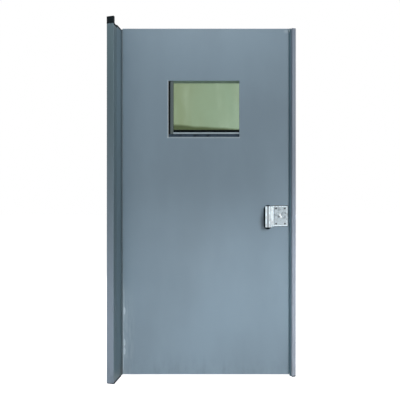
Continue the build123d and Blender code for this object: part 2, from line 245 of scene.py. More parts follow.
class Effects:
    """The shared effects, each a shader node group that is built once."""

    def __init__(self) -> None:
        """Starts with no group built."""
        self.groups: dict[str, NodeTree] = {}

    def place(self, graph: Graph, name: str, inputs: dict) -> Node:
        """Places a group in a material.

        Args:
            graph: The material's graph.
            name: The effect's name.
            inputs: Values or sockets for the group's inputs.

        Returns:
            The group node.
        """
        makers: dict[str, Callable[[], NodeTree]] = {
            "paint_film": self.paint_film,
            "grime": self.grime,
            "scratches": self.scratches,
            "chip": self.chip,
            "band": self.band,
            "edge_highlight": self.edge_highlight,
            "highlight_line": self.highlight_line,
        }
        if name not in self.groups:
            self.groups[name] = makers[name]()
        node = graph.add("ShaderNodeGroup")
        node.node_tree = self.groups[name]
        for key, value in inputs.items():
            graph.put(node.inputs[key], value)
        return node

    def blank(
        self, name: str, takes: dict[str, object], gives: Sequence[str] = ("Mask",)
    ) -> tuple[Graph, dict, dict]:
        """Makes an empty group that takes coordinates and other inputs.

        Args:
            name: The group's name.
            takes: The name and default value of each input after the coordinates.
            gives: The names of the values that it gives.

        Returns:
            The graph, the input sockets by name and the output sockets by name.
        """
        tree = bpy.data.node_groups.new(name, "ShaderNodeTree")
        kinds = {float: "NodeSocketFloat", tuple: "NodeSocketVector"}
        for key, value in {"Place": ORIGIN, **takes}.items():
            socket = tree.interface.new_socket(key, in_out="INPUT", socket_type=kinds[type(value)])
            socket.default_value = value
        for key in gives:
            tree.interface.new_socket(key, in_out="OUTPUT", socket_type="NodeSocketFloat")
        graph = Graph(tree)
        start = graph.add("NodeGroupInput")
        end = graph.add("NodeGroupOutput")
        return graph, dict(start.outputs.items()), dict(end.inputs.items())

    def paint_film(self) -> NodeTree:
        """Builds brushed or sprayed enamel: cloudy tone and a fine orange-peel surface.

        Returns:
            The group.
        """
        graph, takes, gives = self.blank(
            "paint_film", {"Cloud Scale": 3.0, "Peel Scale": 420.0}, gives=("Cloud", "Peel")
        )
        tall = graph.stretched(takes["Place"], (1.0, 1.0, 0.45))
        graph.put(gives["Cloud"], graph.noise(tall, takes["Cloud Scale"], detail=3.0))
        graph.put(gives["Peel"], graph.noise(takes["Place"], takes["Peel Scale"], detail=1.0))
        return graph.tree

    def grime(self) -> NodeTree:
        """Builds dust and splashes that gather near the floor, which on the leaf also stand for painted
        shade at its foot.

        Returns:
            The group.
        """
        graph, takes, gives = self.blank("grime", {"Height": 0.25})
        near = graph.ramp(graph.axis(takes["Place"], "Z"), 0.0, takes["Height"], ends=FALLING)
        streaky = graph.stretched(takes["Place"], (1.0, 1.0, 0.3))
        blots = graph.noise(streaky, 34.0, detail=5.0, rough=0.62)
        graph.put(gives["Mask"], graph.math("MULTIPLY", near, graph.ramp(blots, 0.38, 0.74)))
        return graph.tree

    def scratches(self) -> NodeTree:
        """Builds fine drawn lines, which run along the axis that the coordinates are stretched on.

        Returns:
            The group.
        """
        graph, takes, gives = self.blank("scratches", {"Fineness": 900.0}, gives=("Line",))
        graph.put(gives["Line"], graph.noise(takes["Place"], takes["Fineness"], detail=3.0, rough=0.6))
        return graph.tree

    def chip(self) -> NodeTree:
        """Builds one ragged chip, or a soft patch of painted shade, about a centre.

        Returns:
            The group.
        """
        graph, takes, gives = self.blank(
            "chip", {"Centre": ORIGIN, "Reach": (0.01, 0.01, 0.02), "Ragged": 1.1, "Soft": 0.3}
        )
        away = graph.vector("SUBTRACT", takes["Place"], takes["Centre"])
        scaled = graph.vector("DIVIDE", away, takes["Reach"])
        length = graph.add("ShaderNodeVectorMath", {0: scaled}, operation="LENGTH").outputs["Value"]
        sway = graph.math("SUBTRACT", graph.noise(takes["Place"], 190.0, detail=4.0, rough=0.6), 0.5)
        edge = graph.math("ADD", length, graph.math("MULTIPLY", sway, takes["Ragged"]))
        inside = graph.math("SUBTRACT", 1.0, takes["Soft"])
        graph.put(gives["Mask"], graph.ramp(edge, inside, 1.0, ends=FALLING))
        return graph.tree

    def band(self) -> NodeTree:
        """Builds a ragged level band between two heights.

        Returns:
            The group.
        """
        graph, takes, gives = self.blank("band", {"Low": 0.0, "High": 0.01, "Softness": 0.004})
        low, high, soft = takes["Low"], takes["High"], takes["Softness"]
        sway = graph.math("SUBTRACT", graph.noise(takes["Place"], 55.0, detail=3.0), 0.5)
        height = graph.math("ADD", graph.axis(takes["Place"], "Z"), graph.math("MULTIPLY", sway, soft))
        above = graph.ramp(height, graph.math("SUBTRACT", low, soft), low, smooth=False)
        below = graph.ramp(height, high, graph.math("ADD", high, soft), smooth=False, ends=FALLING)
        graph.put(gives["Mask"], graph.math("MULTIPLY", above, below))
        return graph.tree

    def edge_highlight(self) -> NodeTree:
        """Builds a painted highlight along an upright edge, broken into patches.

        Returns:
            The group.
        """
        graph, takes, gives = self.blank("edge_highlight", {"Edge": 0.0, "Width": 0.006, "Low": 0.0, "High": 1.0})
        aside = graph.math("SUBTRACT", graph.axis(takes["Place"], "X"), takes["Edge"])
        near = graph.ramp(graph.math("ABSOLUTE", aside), 0.0, takes["Width"], ends=FALLING)
        under = graph.ramp(graph.axis(takes["Place"], "Z"), takes["Low"], takes["High"], ends=FALLING)
        tall = graph.stretched(takes["Place"], (1.0, 1.0, 0.12))
        patchy = graph.ramp(graph.noise(tall, 60.0, detail=4.0, rough=0.6), 0.3, 0.62)
        graph.put(gives["Mask"], graph.math("MULTIPLY", graph.math("MULTIPLY", near, under), patchy))
        return graph.tree

    def highlight_line(self) -> NodeTree:
        """Builds a painted highlight along a straight edge between two points.

        Returns:
            The group.
        """
        graph, takes, gives = self.blank(
            "highlight_line", {"Start": ORIGIN, "End": (0.0, 0.0, 1.0), "Width": 0.006}
        )
        away = graph.vector("SUBTRACT", takes["Place"], takes["Start"])
        run = graph.vector("SUBTRACT", takes["End"], takes["Start"])
        share = graph.math("DIVIDE", graph.dot(away, run), graph.dot(run, run))
        held = graph.math("MINIMUM", graph.math("MAXIMUM", share, 0.0), 1.0)
        foot = graph.add("ShaderNodeVectorMath", {0: run, "Scale": held}, operation="SCALE").outputs[0]
        aside = graph.vector("SUBTRACT", away, foot)
        reach = graph.math("SQRT", graph.dot(aside, aside))
        near = graph.ramp(reach, 0.0, takes["Width"], ends=FALLING)
        patchy = graph.ramp(graph.noise(takes["Place"], 40.0, detail=3.0), 0.1, 0.5)
        graph.put(gives["Mask"], graph.math("MULTIPLY", near, patchy))
        return graph.tree


def blank_material(name: str) -> tuple[Material, Graph, Node, NodeSocket]:
    """Makes a material that holds one Principled shader.

    Args:
        name: The material's name.

    Returns:
        The material, its graph, its Principled node and the Object coordinates.
    """
    material = bpy.data.materials.new(name)
    material.use_nodes = True
    material.node_tree.nodes.clear()
    graph = Graph(material.node_tree)
    shader = graph.add("ShaderNodeBsdfPrincipled")
    out = graph.add("ShaderNodeOutputMaterial")
    graph.put(out.inputs["Surface"], shader.outputs["BSDF"])
    place = graph.add("ShaderNodeTexCoord").outputs["Object"]
    return material, graph, shader, place


class Mark:
    """A mark on a finish, which a shared effect draws from the fields that its class names."""

    effect: ClassVar[str]
    shape: ClassVar[tuple[str, ...]]
    strength: float

    def mask(self, effects: Effects, graph: Graph, place: NodeSocket) -> NodeSocket:
        """Gives the mark's mask at its strength.

        Args:
            effects: The shared effects.
            graph: The material's graph.
            place: The Object coordinates.

        Returns:
            The mask.
        """
        inputs = {name.title(): getattr(self, name) for name in self.shape}
        drawn = effects.place(graph, self.effect, {"Place": place, **inputs})
        return graph.math("MULTIPLY", drawn.outputs["Mask"], self.strength)


@dataclass(frozen=True)
class Chip(Mark):
    """A chip in the paint, by its centre and its reach on each axis in metres, and its strength."""

    effect: ClassVar[str] = "chip"
    shape: ClassVar[tuple[str, ...]] = ("centre", "reach", "soft")
    centre: Point
    reach: Point
    strength: float = 0.9
    soft: float = 0.3


@dataclass(frozen=True)
class PaintedShade(Mark):
    """A soft patch of painted shade, by its centre and its reach on each axis in metres, and its strength.
    """

    effect: ClassVar[str] = "chip"
    shape: ClassVar[tuple[str, ...]] = ("centre", "reach", "ragged", "soft")
    centre: Point
    reach: Point
    strength: float = 0.4
    ragged: float = 0.3
    soft: float = 0.95


@dataclass(frozen=True)
class Band(Mark):
    """A level band of another tone, by its heights in metres, its colour and its strength."""

    effect: ClassVar[str] = "band"
    shape: ClassVar[tuple[str, ...]] = ("low", "high")
    low: float
    high: float
    colour: Colour
    strength: float = 0.8


@dataclass(frozen=True)
class EdgeHighlight(Mark):
    """A painted highlight along an upright edge, by its place across, its width and the heights that it
    fades between.
    """

    effect: ClassVar[str] = "edge_highlight"
    shape: ClassVar[tuple[str, ...]] = ("edge", "width", "low", "high")
    edge: float
    width: float
    low: float
    high: float
    strength: float = 0.5


@dataclass(frozen=True)
class HighlightLine(Mark):
    """A painted highlight along a straight edge, by its two ends, its reach and its strength."""

    effect: ClassVar[str] = "highlight_line"
    shape: ClassVar[tuple[str, ...]] = ("start", "end", "width")
    start: Point
    end: Point
    width: float = 0.008
    strength: float = 0.5


@dataclass(frozen=True)
class Enamel:
    """Enamel on steel, with its fades, dirt and marks.

    The head and foot colours hold where X is less than foot_until; on the post and the lock jamb they paint
    light and shade along the height.
    A split is a place across and the colour of the strip on its hinge side, which on the lock jamb is
    painted shade.
    """

    name: str
    colour: Colour
    roughness: float = 0.36
    rough_spread: Span = (-0.05, 0.07)
    shine: float = 0.5
    cloud: float = 0.07
    cloud_span: Span = (0.3, 0.7)
    peel: float = 0.035
    peel_depth: float = 0.0004
    rounding: float = 0.0012
    grime_height: float = 0.16
    grime_and_shade_amount: float = 0.45
    grime_and_shade_colour: Colour = (0.155, 0.16, 0.155)
    # A lighter colour, both for chips and for painted highlights.
    bare_and_highlight_colour: Colour = (0.44, 0.52, 0.58)
    # The dark colour of the patches of painted shade, such as a cast shadow, and the patches themselves.
    painted_shade_colour: Colour = (0.03, 0.036, 0.042)
    painted_shades: tuple[PaintedShade, ...] = ()
    chips: tuple[Chip, ...] = ()
    bands: tuple[Band, ...] = ()
    edge_highlights: tuple[EdgeHighlight, ...] = ()
    lines: tuple[HighlightLine, ...] = ()
    head_colour: Colour | None = None
    foot_colour: Colour | None = None
    foot_fade: Span = (0.2, 1.9)
    foot_until: float = 100.0
    split: tuple[float, Colour] | None = None
    split_blend: float = 0.001

    def build(self, effects: Effects) -> Material:
        """Builds the enamel.

        Args:
            effects: The shared effects.

        Returns:
            The material.
        """
        material, graph, shader, place = blank_material(self.name)
        film = effects.place(graph, "paint_film", {"Place": place}).outputs
        colour = self.plain_colour(graph, place, film["Cloud"])
        # Blots that darken towards the floor: dirt, and on the leaf also painted shade at its foot.
        foot_blots = effects.place(graph, "grime", {"Place": place, "Height": self.grime_height})
        dirt_and_shade = graph.math("MULTIPLY", foot_blots.outputs["Mask"], self.grime_and_shade_amount)
        colour = graph.mix(dirt_and_shade, colour, self.grime_and_shade_colour)
        for mark, tone in self.marks():
            colour = graph.mix(mark.mask(effects, graph, place), colour, tone)
        smoothest, roughest = (self.roughness + change for change in self.rough_spread)
        rough = graph.ramp(film["Cloud"], 0.0, 1.0, smooth=False, ends=(smoothest, roughest))
        normal = graph.relief(film["Peel"], self.peel, self.peel_depth, self.rounding)
        shader.inputs["Specular IOR Level"].default_value = self.shine
        graph.put(shader.inputs["Base Color"], colour)
        graph.put(shader.inputs["Roughness"], rough)
        graph.put(shader.inputs["Normal"], normal)
        return material

    def plain_colour(self, graph: Graph, place: NodeSocket, cloud: NodeSocket) -> NodeSocket:
        """Gives the paint's colour without dirt and marks.

        Args:
            graph: The material's graph.
            place: The Object coordinates.
            cloud: The film's cloudy tone.

        Returns:
            The colour.
        """
        darker = tuple(part * (1 - self.cloud) for part in self.colour)
        lighter = tuple(part * (1 + self.cloud) for part in self.colour)
        colour = graph.mix(graph.ramp(cloud, *self.cloud_span), darker, lighter)
        across = graph.axis(place, "X")
        if self.foot_colour is not None:
            pale = graph.ramp(graph.axis(place, "Z"), *self.foot_fade, ends=FALLING)
            faded = graph.mix(pale, self.head_colour or colour, self.foot_colour)
            colour = graph.mix(graph.math("LESS_THAN", across, self.foot_until), colour, faded)
        if self.split is not None:
            edge, shade = self.split
            beyond = graph.ramp(across, edge - self.split_blend, edge + self.split_blend)
            colour = graph.mix(beyond, graph.mix(cloud, shade, darker), colour)
        return colour

    def marks(self) -> list[tuple[Mark, Colour]]:
        """Lists the marks from the lowest to the topmost.

        Returns:
            Each mark and its colour.
        """
        return [
            *((band, band.colour) for band in self.bands),
            *((shade_patch, self.painted_shade_colour) for shade_patch in self.painted_shades),
            # Chips show the lighter colour as bare metal; edge highlights and highlight lines use it as
            # painted highlights.
            *((lighter_mark, self.bare_and_highlight_colour) for lighter_mark in (*self.edge_highlights, *self.lines, *self.chips)),
        ]


@dataclass(frozen=True)
class BrightMetal:
    """Plated or brushed metal with fine lines and stains, which may take a painted shade tone over a part
    of its depth and may carry patches of painted shade.
    """

    name: str
    colour: Colour
    roughness: float = 0.2
    rough_rise: float = 0.14
    grain: Point = (1.0, 1.0, 0.04)
    line_relief: float = 0.06
    line_depth: float = 0.0003
    stain: Colour = (0.36, 0.37, 0.39)
    stain_amount: float = 0.5
    stain_scale: float = 42.0
    stain_span: Span = (0.4, 0.72)
    stain_fade: Span | None = None
    # The dark colour of the patches of painted shade on the metal, and the patches themselves.
    painted_shade_colour: Colour = (0.07, 0.08, 0.085)
    painted_shades: tuple[PaintedShade, ...] = ()
    rounding: float = 0.0009
    shade_from: float | None = None
    shade_run: float = 0.0006
    shade_until: float | None = None
    shade_tone: Colour = (0.3, 0.33, 0.345)

    def build(self, effects: Effects) -> Material:
        """Builds the metal.

        Args:
            effects: The shared effects.

        Returns:
            The material.
        """
        material, graph, shader, place = blank_material(self.name)
        lines = effects.place(graph, "scratches", {"Place": graph.stretched(place, self.grain)})
        blots = graph.noise(place, self.stain_scale, detail=4.0, rough=0.55)
        patches = graph.ramp(blots, *self.stain_span)
        amount = graph.math("MULTIPLY", patches, self.stain_amount)
        if self.stain_fade is not None:
            amount = graph.math("MULTIPLY", amount, graph.ramp(graph.axis(place, "Z"), *self.stain_fade))
        colour = graph.mix(amount, self.colour, self.stain)
        # Faces that lie deeper take a painted shade tone, so that the foremost faces stay bright as painted
        # highlights.
        if self.shade_from is not None:
            depth = graph.axis(place, "Y")
            sunk = graph.ramp(depth, self.shade_from, self.shade_from + self.shade_run)
            if self.shade_until is not None:
                past = graph.ramp(depth, self.shade_until, self.shade_until + self.shade_run)
                sunk = graph.math("SUBTRACT", sunk, past)
            colour = graph.mix(sunk, colour, graph.mix(amount, self.shade_tone, self.stain))
        for shade_patch in self.painted_shades:
            colour = graph.mix(shade_patch.mask(effects, graph, place), colour, self.painted_shade_colour)
        rough_ends = (self.roughness, self.roughness + self.rough_rise)
        normal = graph.relief(lines.outputs["Line"], self.line_relief, self.line_depth, self.rounding)
        shader.inputs["Metallic"].default_value = 1.0
        graph.put(shader.inputs["Base Color"], colour)
        graph.put(shader.inputs["Roughness"], graph.ramp(patches, 0.0, 1.0, smooth=False, ends=rough_ends))
        graph.put(shader.inputs["Normal"], normal)
        return material


@dataclass(frozen=True)
class MattRubber:
    """Rubber, mastic or plastic with a fine grain and dust, which may have lighter dusty stripes, painted
    as the light and shade of ribs, and may take another tone low down.
    """

    name: str
    colour: Colour = (0.006, 0.0065, 0.007)
    dust: Colour = (0.02, 0.022, 0.024)
    roughness: float = 0.62
    shine: float = 0.22
    grain: float = 900.0
    grain_relief: float = 0.12
    grain_depth: float = 0.0003
    dust_scale: float = 26.0
    dust_span: Span = (0.45, 0.75)
    dust_amount: float = 0.6
    rib_pitch: float = 0.0
    rib_span: Span = (-0.6, 0.6)
    rib_lift: float = 0.5
    tone_below: float | None = None
    tone_run: float = 0.002
    low_tone: Colour = (0.056, 0.084, 0.118)
    rounding: float = 0.0008

    def build(self, effects: Effects) -> Material:
        """Builds the rubber.

        Args:
            effects: The shared effects.

        Returns:
            The material.
        """
        material, graph, shader, place = blank_material(self.name)
        scales = {"Cloud Scale": self.dust_scale, "Peel Scale": self.grain}
        film = effects.place(graph, "paint_film", {"Place": place, **scales}).outputs
        dusty = graph.math("MULTIPLY", graph.ramp(film["Cloud"], *self.dust_span), self.dust_amount)
        height = graph.axis(place, "Z")
        # Lighter dusty stripes across the height, painted as the lit and shaded faces of ribs.
        if self.rib_pitch:
            turns = graph.math("MULTIPLY", height, math.tau / self.rib_pitch)
            rib_stripes = graph.ramp(graph.math("SINE", turns), *self.rib_span)
            dusty = graph.math("MULTIPLY", rib_stripes, graph.math("ADD", dusty, self.rib_lift))
        colour = graph.mix(dusty, self.colour, self.dust)
        # Below a given height the colour takes another, lighter tone.
        if self.tone_below is not None:
            above = graph.ramp(height, self.tone_below - self.tone_run, self.tone_below)
            colour = graph.mix(above, graph.mix(dusty, self.low_tone, self.dust), colour)
        normal = graph.relief(film["Peel"], self.grain_relief, self.grain_depth, self.rounding)
        shader.inputs["Roughness"].default_value = self.roughness
        shader.inputs["Specular IOR Level"].default_value = self.shine
        graph.put(shader.inputs["Base Color"], colour)
        graph.put(shader.inputs["Normal"], normal)
        return material


@dataclass(frozen=True)
class GreenGlass:
    """Thick laminated glass, warmer towards its hinge side, which darkens to green towards its sill and has
    pale streaks that are partly smears and partly painted reflection.
    """

    name: str
    middle: Colour
    warm: Colour
    sill: Colour
    sill_low: float
    sill_high: float
    left: float
    right: float
    sill_slope: float = 0.06
    sill_wave: float = 0.03
    cloud_scale: float = 5.0
    cloud_span: Span = (0.35, 0.68)
    cloud_share: float = 0.35
    side_share: float = 0.65
    pale: Colour = (0.36, 0.47, 0.34)
    streak: float = 0.4
    streak_stretch: Point = (1.0, 1.0, 0.22)
    streak_span: Span = (0.42, 0.7)
    roughness: float = 0.015
    refraction: float = 1.5

    def build(self, effects: Effects) -> Material:
        """Builds the glass.

        Args:
            effects: The shared effects.

        Returns:
            The material.
        """
        material, graph, shader, place = blank_material(self.name)
        film = effects.place(graph, "paint_film", {"Place": place, "Cloud Scale": self.cloud_scale})
        cloud = film.outputs["Cloud"]
        across = graph.axis(place, "X")
        side = graph.math("MULTIPLY", graph.ramp(across, self.left, self.right), self.side_share)
        drift = graph.math("MULTIPLY", graph.ramp(cloud, *self.cloud_span), self.cloud_share)
        body = graph.mix(graph.math("ADD", side, drift), self.warm, self.middle)
        # Pale upright streaks, partly smears and partly painted reflection.
        streak_noise = graph.noise(graph.stretched(place, self.streak_stretch), 13.0, detail=3.0, rough=0.55)
        streaks = graph.math("MULTIPLY", graph.ramp(streak_noise, *self.streak_span), self.streak)
        body = graph.mix(streaks, body, self.pale)
        wave = graph.math("MULTIPLY", graph.math("SUBTRACT", cloud, 0.5), self.sill_wave)
        along = graph.math("MULTIPLY", graph.math("SUBTRACT", across, self.left), self.sill_slope)
        height = graph.math("ADD", graph.math("ADD", graph.axis(place, "Z"), along), wave)
        tint = graph.mix(graph.ramp(height, self.sill_low, self.sill_high), self.sill, body)
        graph.put(shader.inputs["Base Color"], tint)
        shader.inputs["Roughness"].default_value = self.roughness
        shader.inputs["IOR"].default_value = self.refraction
        shader.inputs["Transmission Weight"].default_value = 1.0
        return material


@dataclass(frozen=True)
class FibreBoard:
    """Laminated fibre board with a woven grain."""

    name: str
    colour: Colour = (0.33, 0.3, 0.2)
    shade: float = 0.75
    grain: Point = (1.0, 0.2, 1.0)
    fineness: float = 260.0
    roughness: float = 0.8

    def build(self, effects: Effects) -> Material:
        """Builds the board.

        Args:
            effects: The shared effects.

        Returns:
            The material.
        """
        material, graph, shader, place = blank_material(self.name)
        stretched = graph.stretched(place, self.grain)
        lines = effects.place(graph, "scratches", {"Place": stretched, "Fineness": self.fineness})
        darker = tuple(part * self.shade for part in self.colour)
        graph.put(shader.inputs["Base Color"], graph.mix(lines.outputs["Line"], darker, self.colour))
        shader.inputs["Roughness"].default_value = self.roughness
        return material


Finish = Enamel | BrightMetal | MattRubber | GreenGlass | FibreBoard


class Workshop:
    """Keeps the built finishes, dresses CAD nodes and turns bmeshes into riding pieces."""

    def __init__(self) -> None:
        """Starts with no finish built."""
        self.effects = Effects()
        self.built: dict[str, Material] = {}

    def material(self, finish: Finish) -> Material:
        """Gives a finish's material, built once.

        Args:
            finish: The finish.

        Returns:
            Its material.
        """
        if finish.name not in self.built:
            self.built[finish.name] = finish.build(self.effects)
        return self.built[finish.name]

    def dress(self, finish: Finish, *nodes: str) -> None:
        """Gives CAD nodes a finish.

        Args:
            finish: The finish.
            nodes: The nodes' names.
        """
        for name in nodes:
            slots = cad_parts[name].data.materials
            slots.clear()
            slots.append(self.material(finish))
            log.info("dressed %s in %s", name, finish.name)

    def piece(self, mesh: BMesh, name: str, body: Body, finish: Finish, slot: str) -> Object:
        """Turns a bmesh into a piece that rides on a body.

        Args:
            mesh: The shape, in the row frame. It is freed.
            name: The piece's name.
            body: The body that it rides on.
            finish: Its finish.
            slot: The record's material slot. It is not used.

        Returns:
            The piece.
        """
        data = bpy.data.meshes.new(name)
        mesh.to_mesh(data)
        mesh.free()
        piece = bpy.data.objects.new(name, data)
        bpy.context.scene.collection.objects.link(piece)
        data.materials.append(self.material(finish))
        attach(piece, body.value)
        log.info("made %s with %d faces", name, len(data.polygons))
        return piece


def smooth_by_angle(mesh: BMesh, angle: float = math.radians(32)) -> None:
    """Shades a shape smooth, apart from its sharp edges.

    Args:
        mesh: The shape.
        angle: The turn past which an edge is sharp.
    """
    for face in mesh.faces:
        face.smooth = True
    for edge in mesh.edges:
        edge.smooth = not (edge.is_manifold and edge.calc_face_angle(0.0) > angle)


def merge_into(target: BMesh, part: BMesh) -> None:
    """Adds one shape to another.

    Args:
        target: The shape that grows.
        part: The shape that is added and freed.
    """
    data = bpy.data.meshes.new("part")
    part.to_mesh(data)
    part.free()
    target.from_mesh(data)
    bpy.data.meshes.remove(data)


def upper_faces(mesh: BMesh, least: float = 0.9) -> list[BMFace]:
    """Finds the faces that look up, by the least rise of their normals."""
    mesh.normal_update()
    return [face for face in mesh.faces if face.normal.z > least]


def thicken(mesh: BMesh, height: float, rounding: float, steps: int) -> None:
    """Thickens a flat outline that faces +Z and rounds its upper rim.

    Args:
        mesh: The outline.
        height: How thick it becomes.
        rounding: How far in the rim is rounded.
        steps: The faces across the rounding.
    """
    grown = bmesh.ops.extrude_face_region(mesh, geom=mesh.faces[:])
    top = [item for item in grown["geom"] if isinstance(item, BMVert)]
    bmesh.ops.translate(mesh, verts=top, vec=(0, 0, height))
    bmesh.ops.recalc_face_normals(mesh, faces=mesh.faces)
    rim = [edge for edge in mesh.edges if all(vert in top for vert in edge.verts)]
    bmesh.ops.bevel(
        mesh, geom=rim, offset=rounding, affect="EDGES", segments=steps, profile=0.5, material=-1
    )


@dataclass(frozen=True)
class Screw:
    """A pan-head screw with a cross recess, which sits on a face.

    The shares are of the head's radius or, for the rim and the recess's limit, of its height.
    """

    head_radius: float
    head_height: float
    segments: int = 24
    rim_share: float = 0.6
    rim_steps: int = 3
    inset_share: float = 0.12
    flat_share: float = 0.95
    slot_share: float = 0.14
    cross_share: float = 0.62
    recess_depth: float = 0.0011
    recess_limit: float = 0.6

    def build(self, seat: Vector, facing: Facing, twist: float) -> BMesh:
        """Builds the head, with its recess.

        Args:
            seat: The middle of the head's underside.
            facing: The way that the head faces.
            twist: The turn of the recess, in radians.

        Returns:
            The head's shape.
        """
        mesh = bmesh.new()
        radius, height = self.head_radius, self.head_height
        bmesh.ops.create_cone(
            mesh, cap_ends=True, segments=self.segments, radius1=radius, radius2=radius, depth=height
        )
        bmesh.ops.translate(mesh, verts=mesh.verts, vec=(0, 0, height / 2))
        rim = [edge for edge in mesh.edges if all(vert.co.z > height / 2 for vert in edge.verts)]
        bmesh.ops.bevel(
            mesh, geom=rim, offset=height * self.rim_share, affect="EDGES", segments=self.rim_steps,
            profile=0.5, material=-1,
        )
        self.cut_recess(mesh)
        turn = facing.turn @ Matrix.Rotation(twist, 4, "Z")
        bmesh.ops.transform(mesh, matrix=Matrix.Translation(seat) @ turn, verts=mesh.verts)
        smooth_by_angle(mesh)
        return mesh

    def cut_recess(self, mesh: BMesh) -> None:
        """Sinks the cross into the top of the head.

        Args:
            mesh: The head, with its top facing +Z.
        """
        top = max(upper_faces(mesh), key=lambda face: face.calc_area())
        bmesh.ops.inset_region(mesh, faces=[top], thickness=self.head_radius * self.inset_share)
        half = self.head_radius * self.slot_share
        for way in (Vector((1, 0, 0)), Vector((0, 1, 0))):
            for side in (-half, half):
                inner = self.inner_faces(mesh)
                edges = {edge for face in inner for edge in face.edges}
                verts = {vert for face in inner for vert in face.verts}
                bmesh.ops.bisect_plane(
                    mesh, geom=[*inner, *edges, *verts], plane_co=way * side, plane_no=way, dist=TOUCH / 10
                )
        sunk = [face for face in self.inner_faces(mesh) if self.in_recess(face, half)]
        grown = bmesh.ops.extrude_face_region(mesh, geom=sunk)
        moved = [item for item in grown["geom"] if isinstance(item, BMVert)]
        bmesh.ops.delete(mesh, geom=sunk, context="FACES_ONLY")
        depth = min(self.recess_depth, self.head_height * self.recess_limit)
        bmesh.ops.translate(mesh, verts=moved, vec=(0, 0, -depth))

    def inner_faces(self, mesh: BMesh) -> list[BMFace]:
        """Finds the flat middle of the head's top.

        Args:
            mesh: The head.

        Returns:
            Its faces.
        """
        level = max(vert.co.z for vert in mesh.verts)
        reach = self.head_radius * self.flat_share
        return [
            face for face in upper_faces(mesh, least=0.999)
            if abs(face.calc_center_median().z - level) < TOUCH
            and all(vert.co.xy.length < reach for vert in face.verts)
        ]

    def in_recess(self, face: BMFace, half: float) -> bool:
        """Says whether a face lies in the cross.

        Args:
            face: A face of the head's top.
            half: Half the width of the cross's arms.

        Returns:
            True if it is sunk.
        """
        middle = face.calc_center_median()
        in_arm = abs(middle.x) < half or abs(middle.y) < half
        return in_arm and middle.xy.length < self.head_radius * self.cross_share


def screw_row(screw: Screw, seats: Iterable[Vector], facing: Facing) -> BMesh:
    """Builds several screws in one shape, each turned its own way.

    Args:
        screw: The screw.
        seats: The middle of each head's underside.
        facing: The way that the heads face.

    Returns:
        The shape.
    """
    mesh = bmesh.new()
    golden_turn = 2.4
    for index, seat in enumerate(seats):
        merge_into(mesh, screw.build(seat, facing, golden_turn * index))
    return mesh


@dataclass
class WeldBead:
    """A round bead of weld with faint ripples along it."""

    radius: float
    length: float
    ripple: float = 0.06
    pitch: float = 0.006
    segments: int = 10
    most_rings: int = 360

    def build(self, middle: Vector, facing: Facing) -> BMesh:
        """Builds the bead.

        Args:
            middle: The middle of the bead.
            facing: The way that it runs.

        Returns:
            The bead's shape.
        """
        mesh = bmesh.new()
        bmesh.ops.create_cone(
            mesh, cap_ends=True, segments=self.segments, radius1=self.radius, radius2=self.radius,
            depth=self.length,
        )
        long_edges = [edge for edge in mesh.edges if edge.calc_length() > self.length / 2]
        rings = min(self.most_rings, max(2, round(2 * self.length / self.pitch)))
        bmesh.ops.subdivide_edges(mesh, edges=long_edges, cuts=rings, use_grid_fill=True)
        for vert in mesh.verts:
            swell = 1 - self.ripple * (1 + math.cos(math.tau * vert.co.z / self.pitch)) / 2
            vert.co.xy *= swell
        bmesh.ops.transform(mesh, matrix=Matrix.Translation(middle) @ facing.turn, verts=mesh.verts)
        smooth_by_angle(mesh)
        return mesh


@dataclass
class Moulding:
    """A strip of one section that runs along a path in a plane, mitred at the corners of the path."""

    axis: Facing
    section: Profile

    @classmethod
    def sized(cls, axis: Facing, profile: Profile, out: float, along: float) -> "Moulding":
        """Makes a strip from a profile of unit size, sized sideways from its path and along its axis."""
        return cls(axis, tuple((out * side, along * deep) for side, deep in profile))

    def build(self, path: Sequence[Vector]) -> BMesh:
        """Builds the strip.

        Args:
            path: The points that the strip runs through.

        Returns:
            The strip's shape.
        """
        rings = [self.ring(path, index) for index in range(len(path))]
        mesh = bmesh.new()
        end = mesh.faces.new([mesh.verts.new(corner) for corner in rings[0]])
        for before, after in zip(rings, rings[1:]):
            end = bmesh.ops.extrude_discrete_faces(mesh, faces=[end])["faces"][0]
            for vert in end.verts:
                nearest = min(range(len(before)), key=lambda index: (before[index] - vert.co).length)
                vert.co = after[nearest]
        bmesh.ops.recalc_face_normals(mesh, faces=mesh.faces)
        smooth_by_angle(mesh)
        return mesh

    def ring(self, path: Sequence[Vector], index: int) -> list[Vector]:
        """Places the section at one point of the path.

        Args:
            path: The points of the path.
            index: The point's number.

        Returns:
            The corners of the section there.
        """
        axis = Vector(self.axis.value)
        near = path[max(0, index - 1):index + 2]
        sides = [axis.cross((after - before).normalized()) for before, after in zip(near, near[1:])]
        mitre = (sides[0] + sides[-1]) / (1 + sides[0].dot(sides[-1]))
        return [path[index] + mitre * out + axis * along for out, along in self.section]


LEAF_COLOUR: Colour = (0.178, 0.246, 0.302)
# The leaf's colour near the floor: dirt, and painted shade at its foot.
LEAF_DIRT_AND_SHADE_COLOUR: Colour = (0.125, 0.17, 0.21)
FRAME_COLOUR: Colour = (0.162, 0.232, 0.278)
JAMB_FOOT_COLOUR: Colour = (0.142, 0.205, 0.24)
# The hinge post is painted darker than the leaf, as painted shade, and its front grows lighter towards the
# foot, as painted light.
POST_SHADE_COLOUR: Colour = (0.131, 0.188, 0.215)
POST_HEAD_SHADE_COLOUR: Colour = (0.138, 0.201, 0.23)
POST_FOOT_LIT_COLOUR: Colour = (0.246, 0.304, 0.372)
POST_GRIME_COLOUR: Colour = (0.09, 0.115, 0.13)
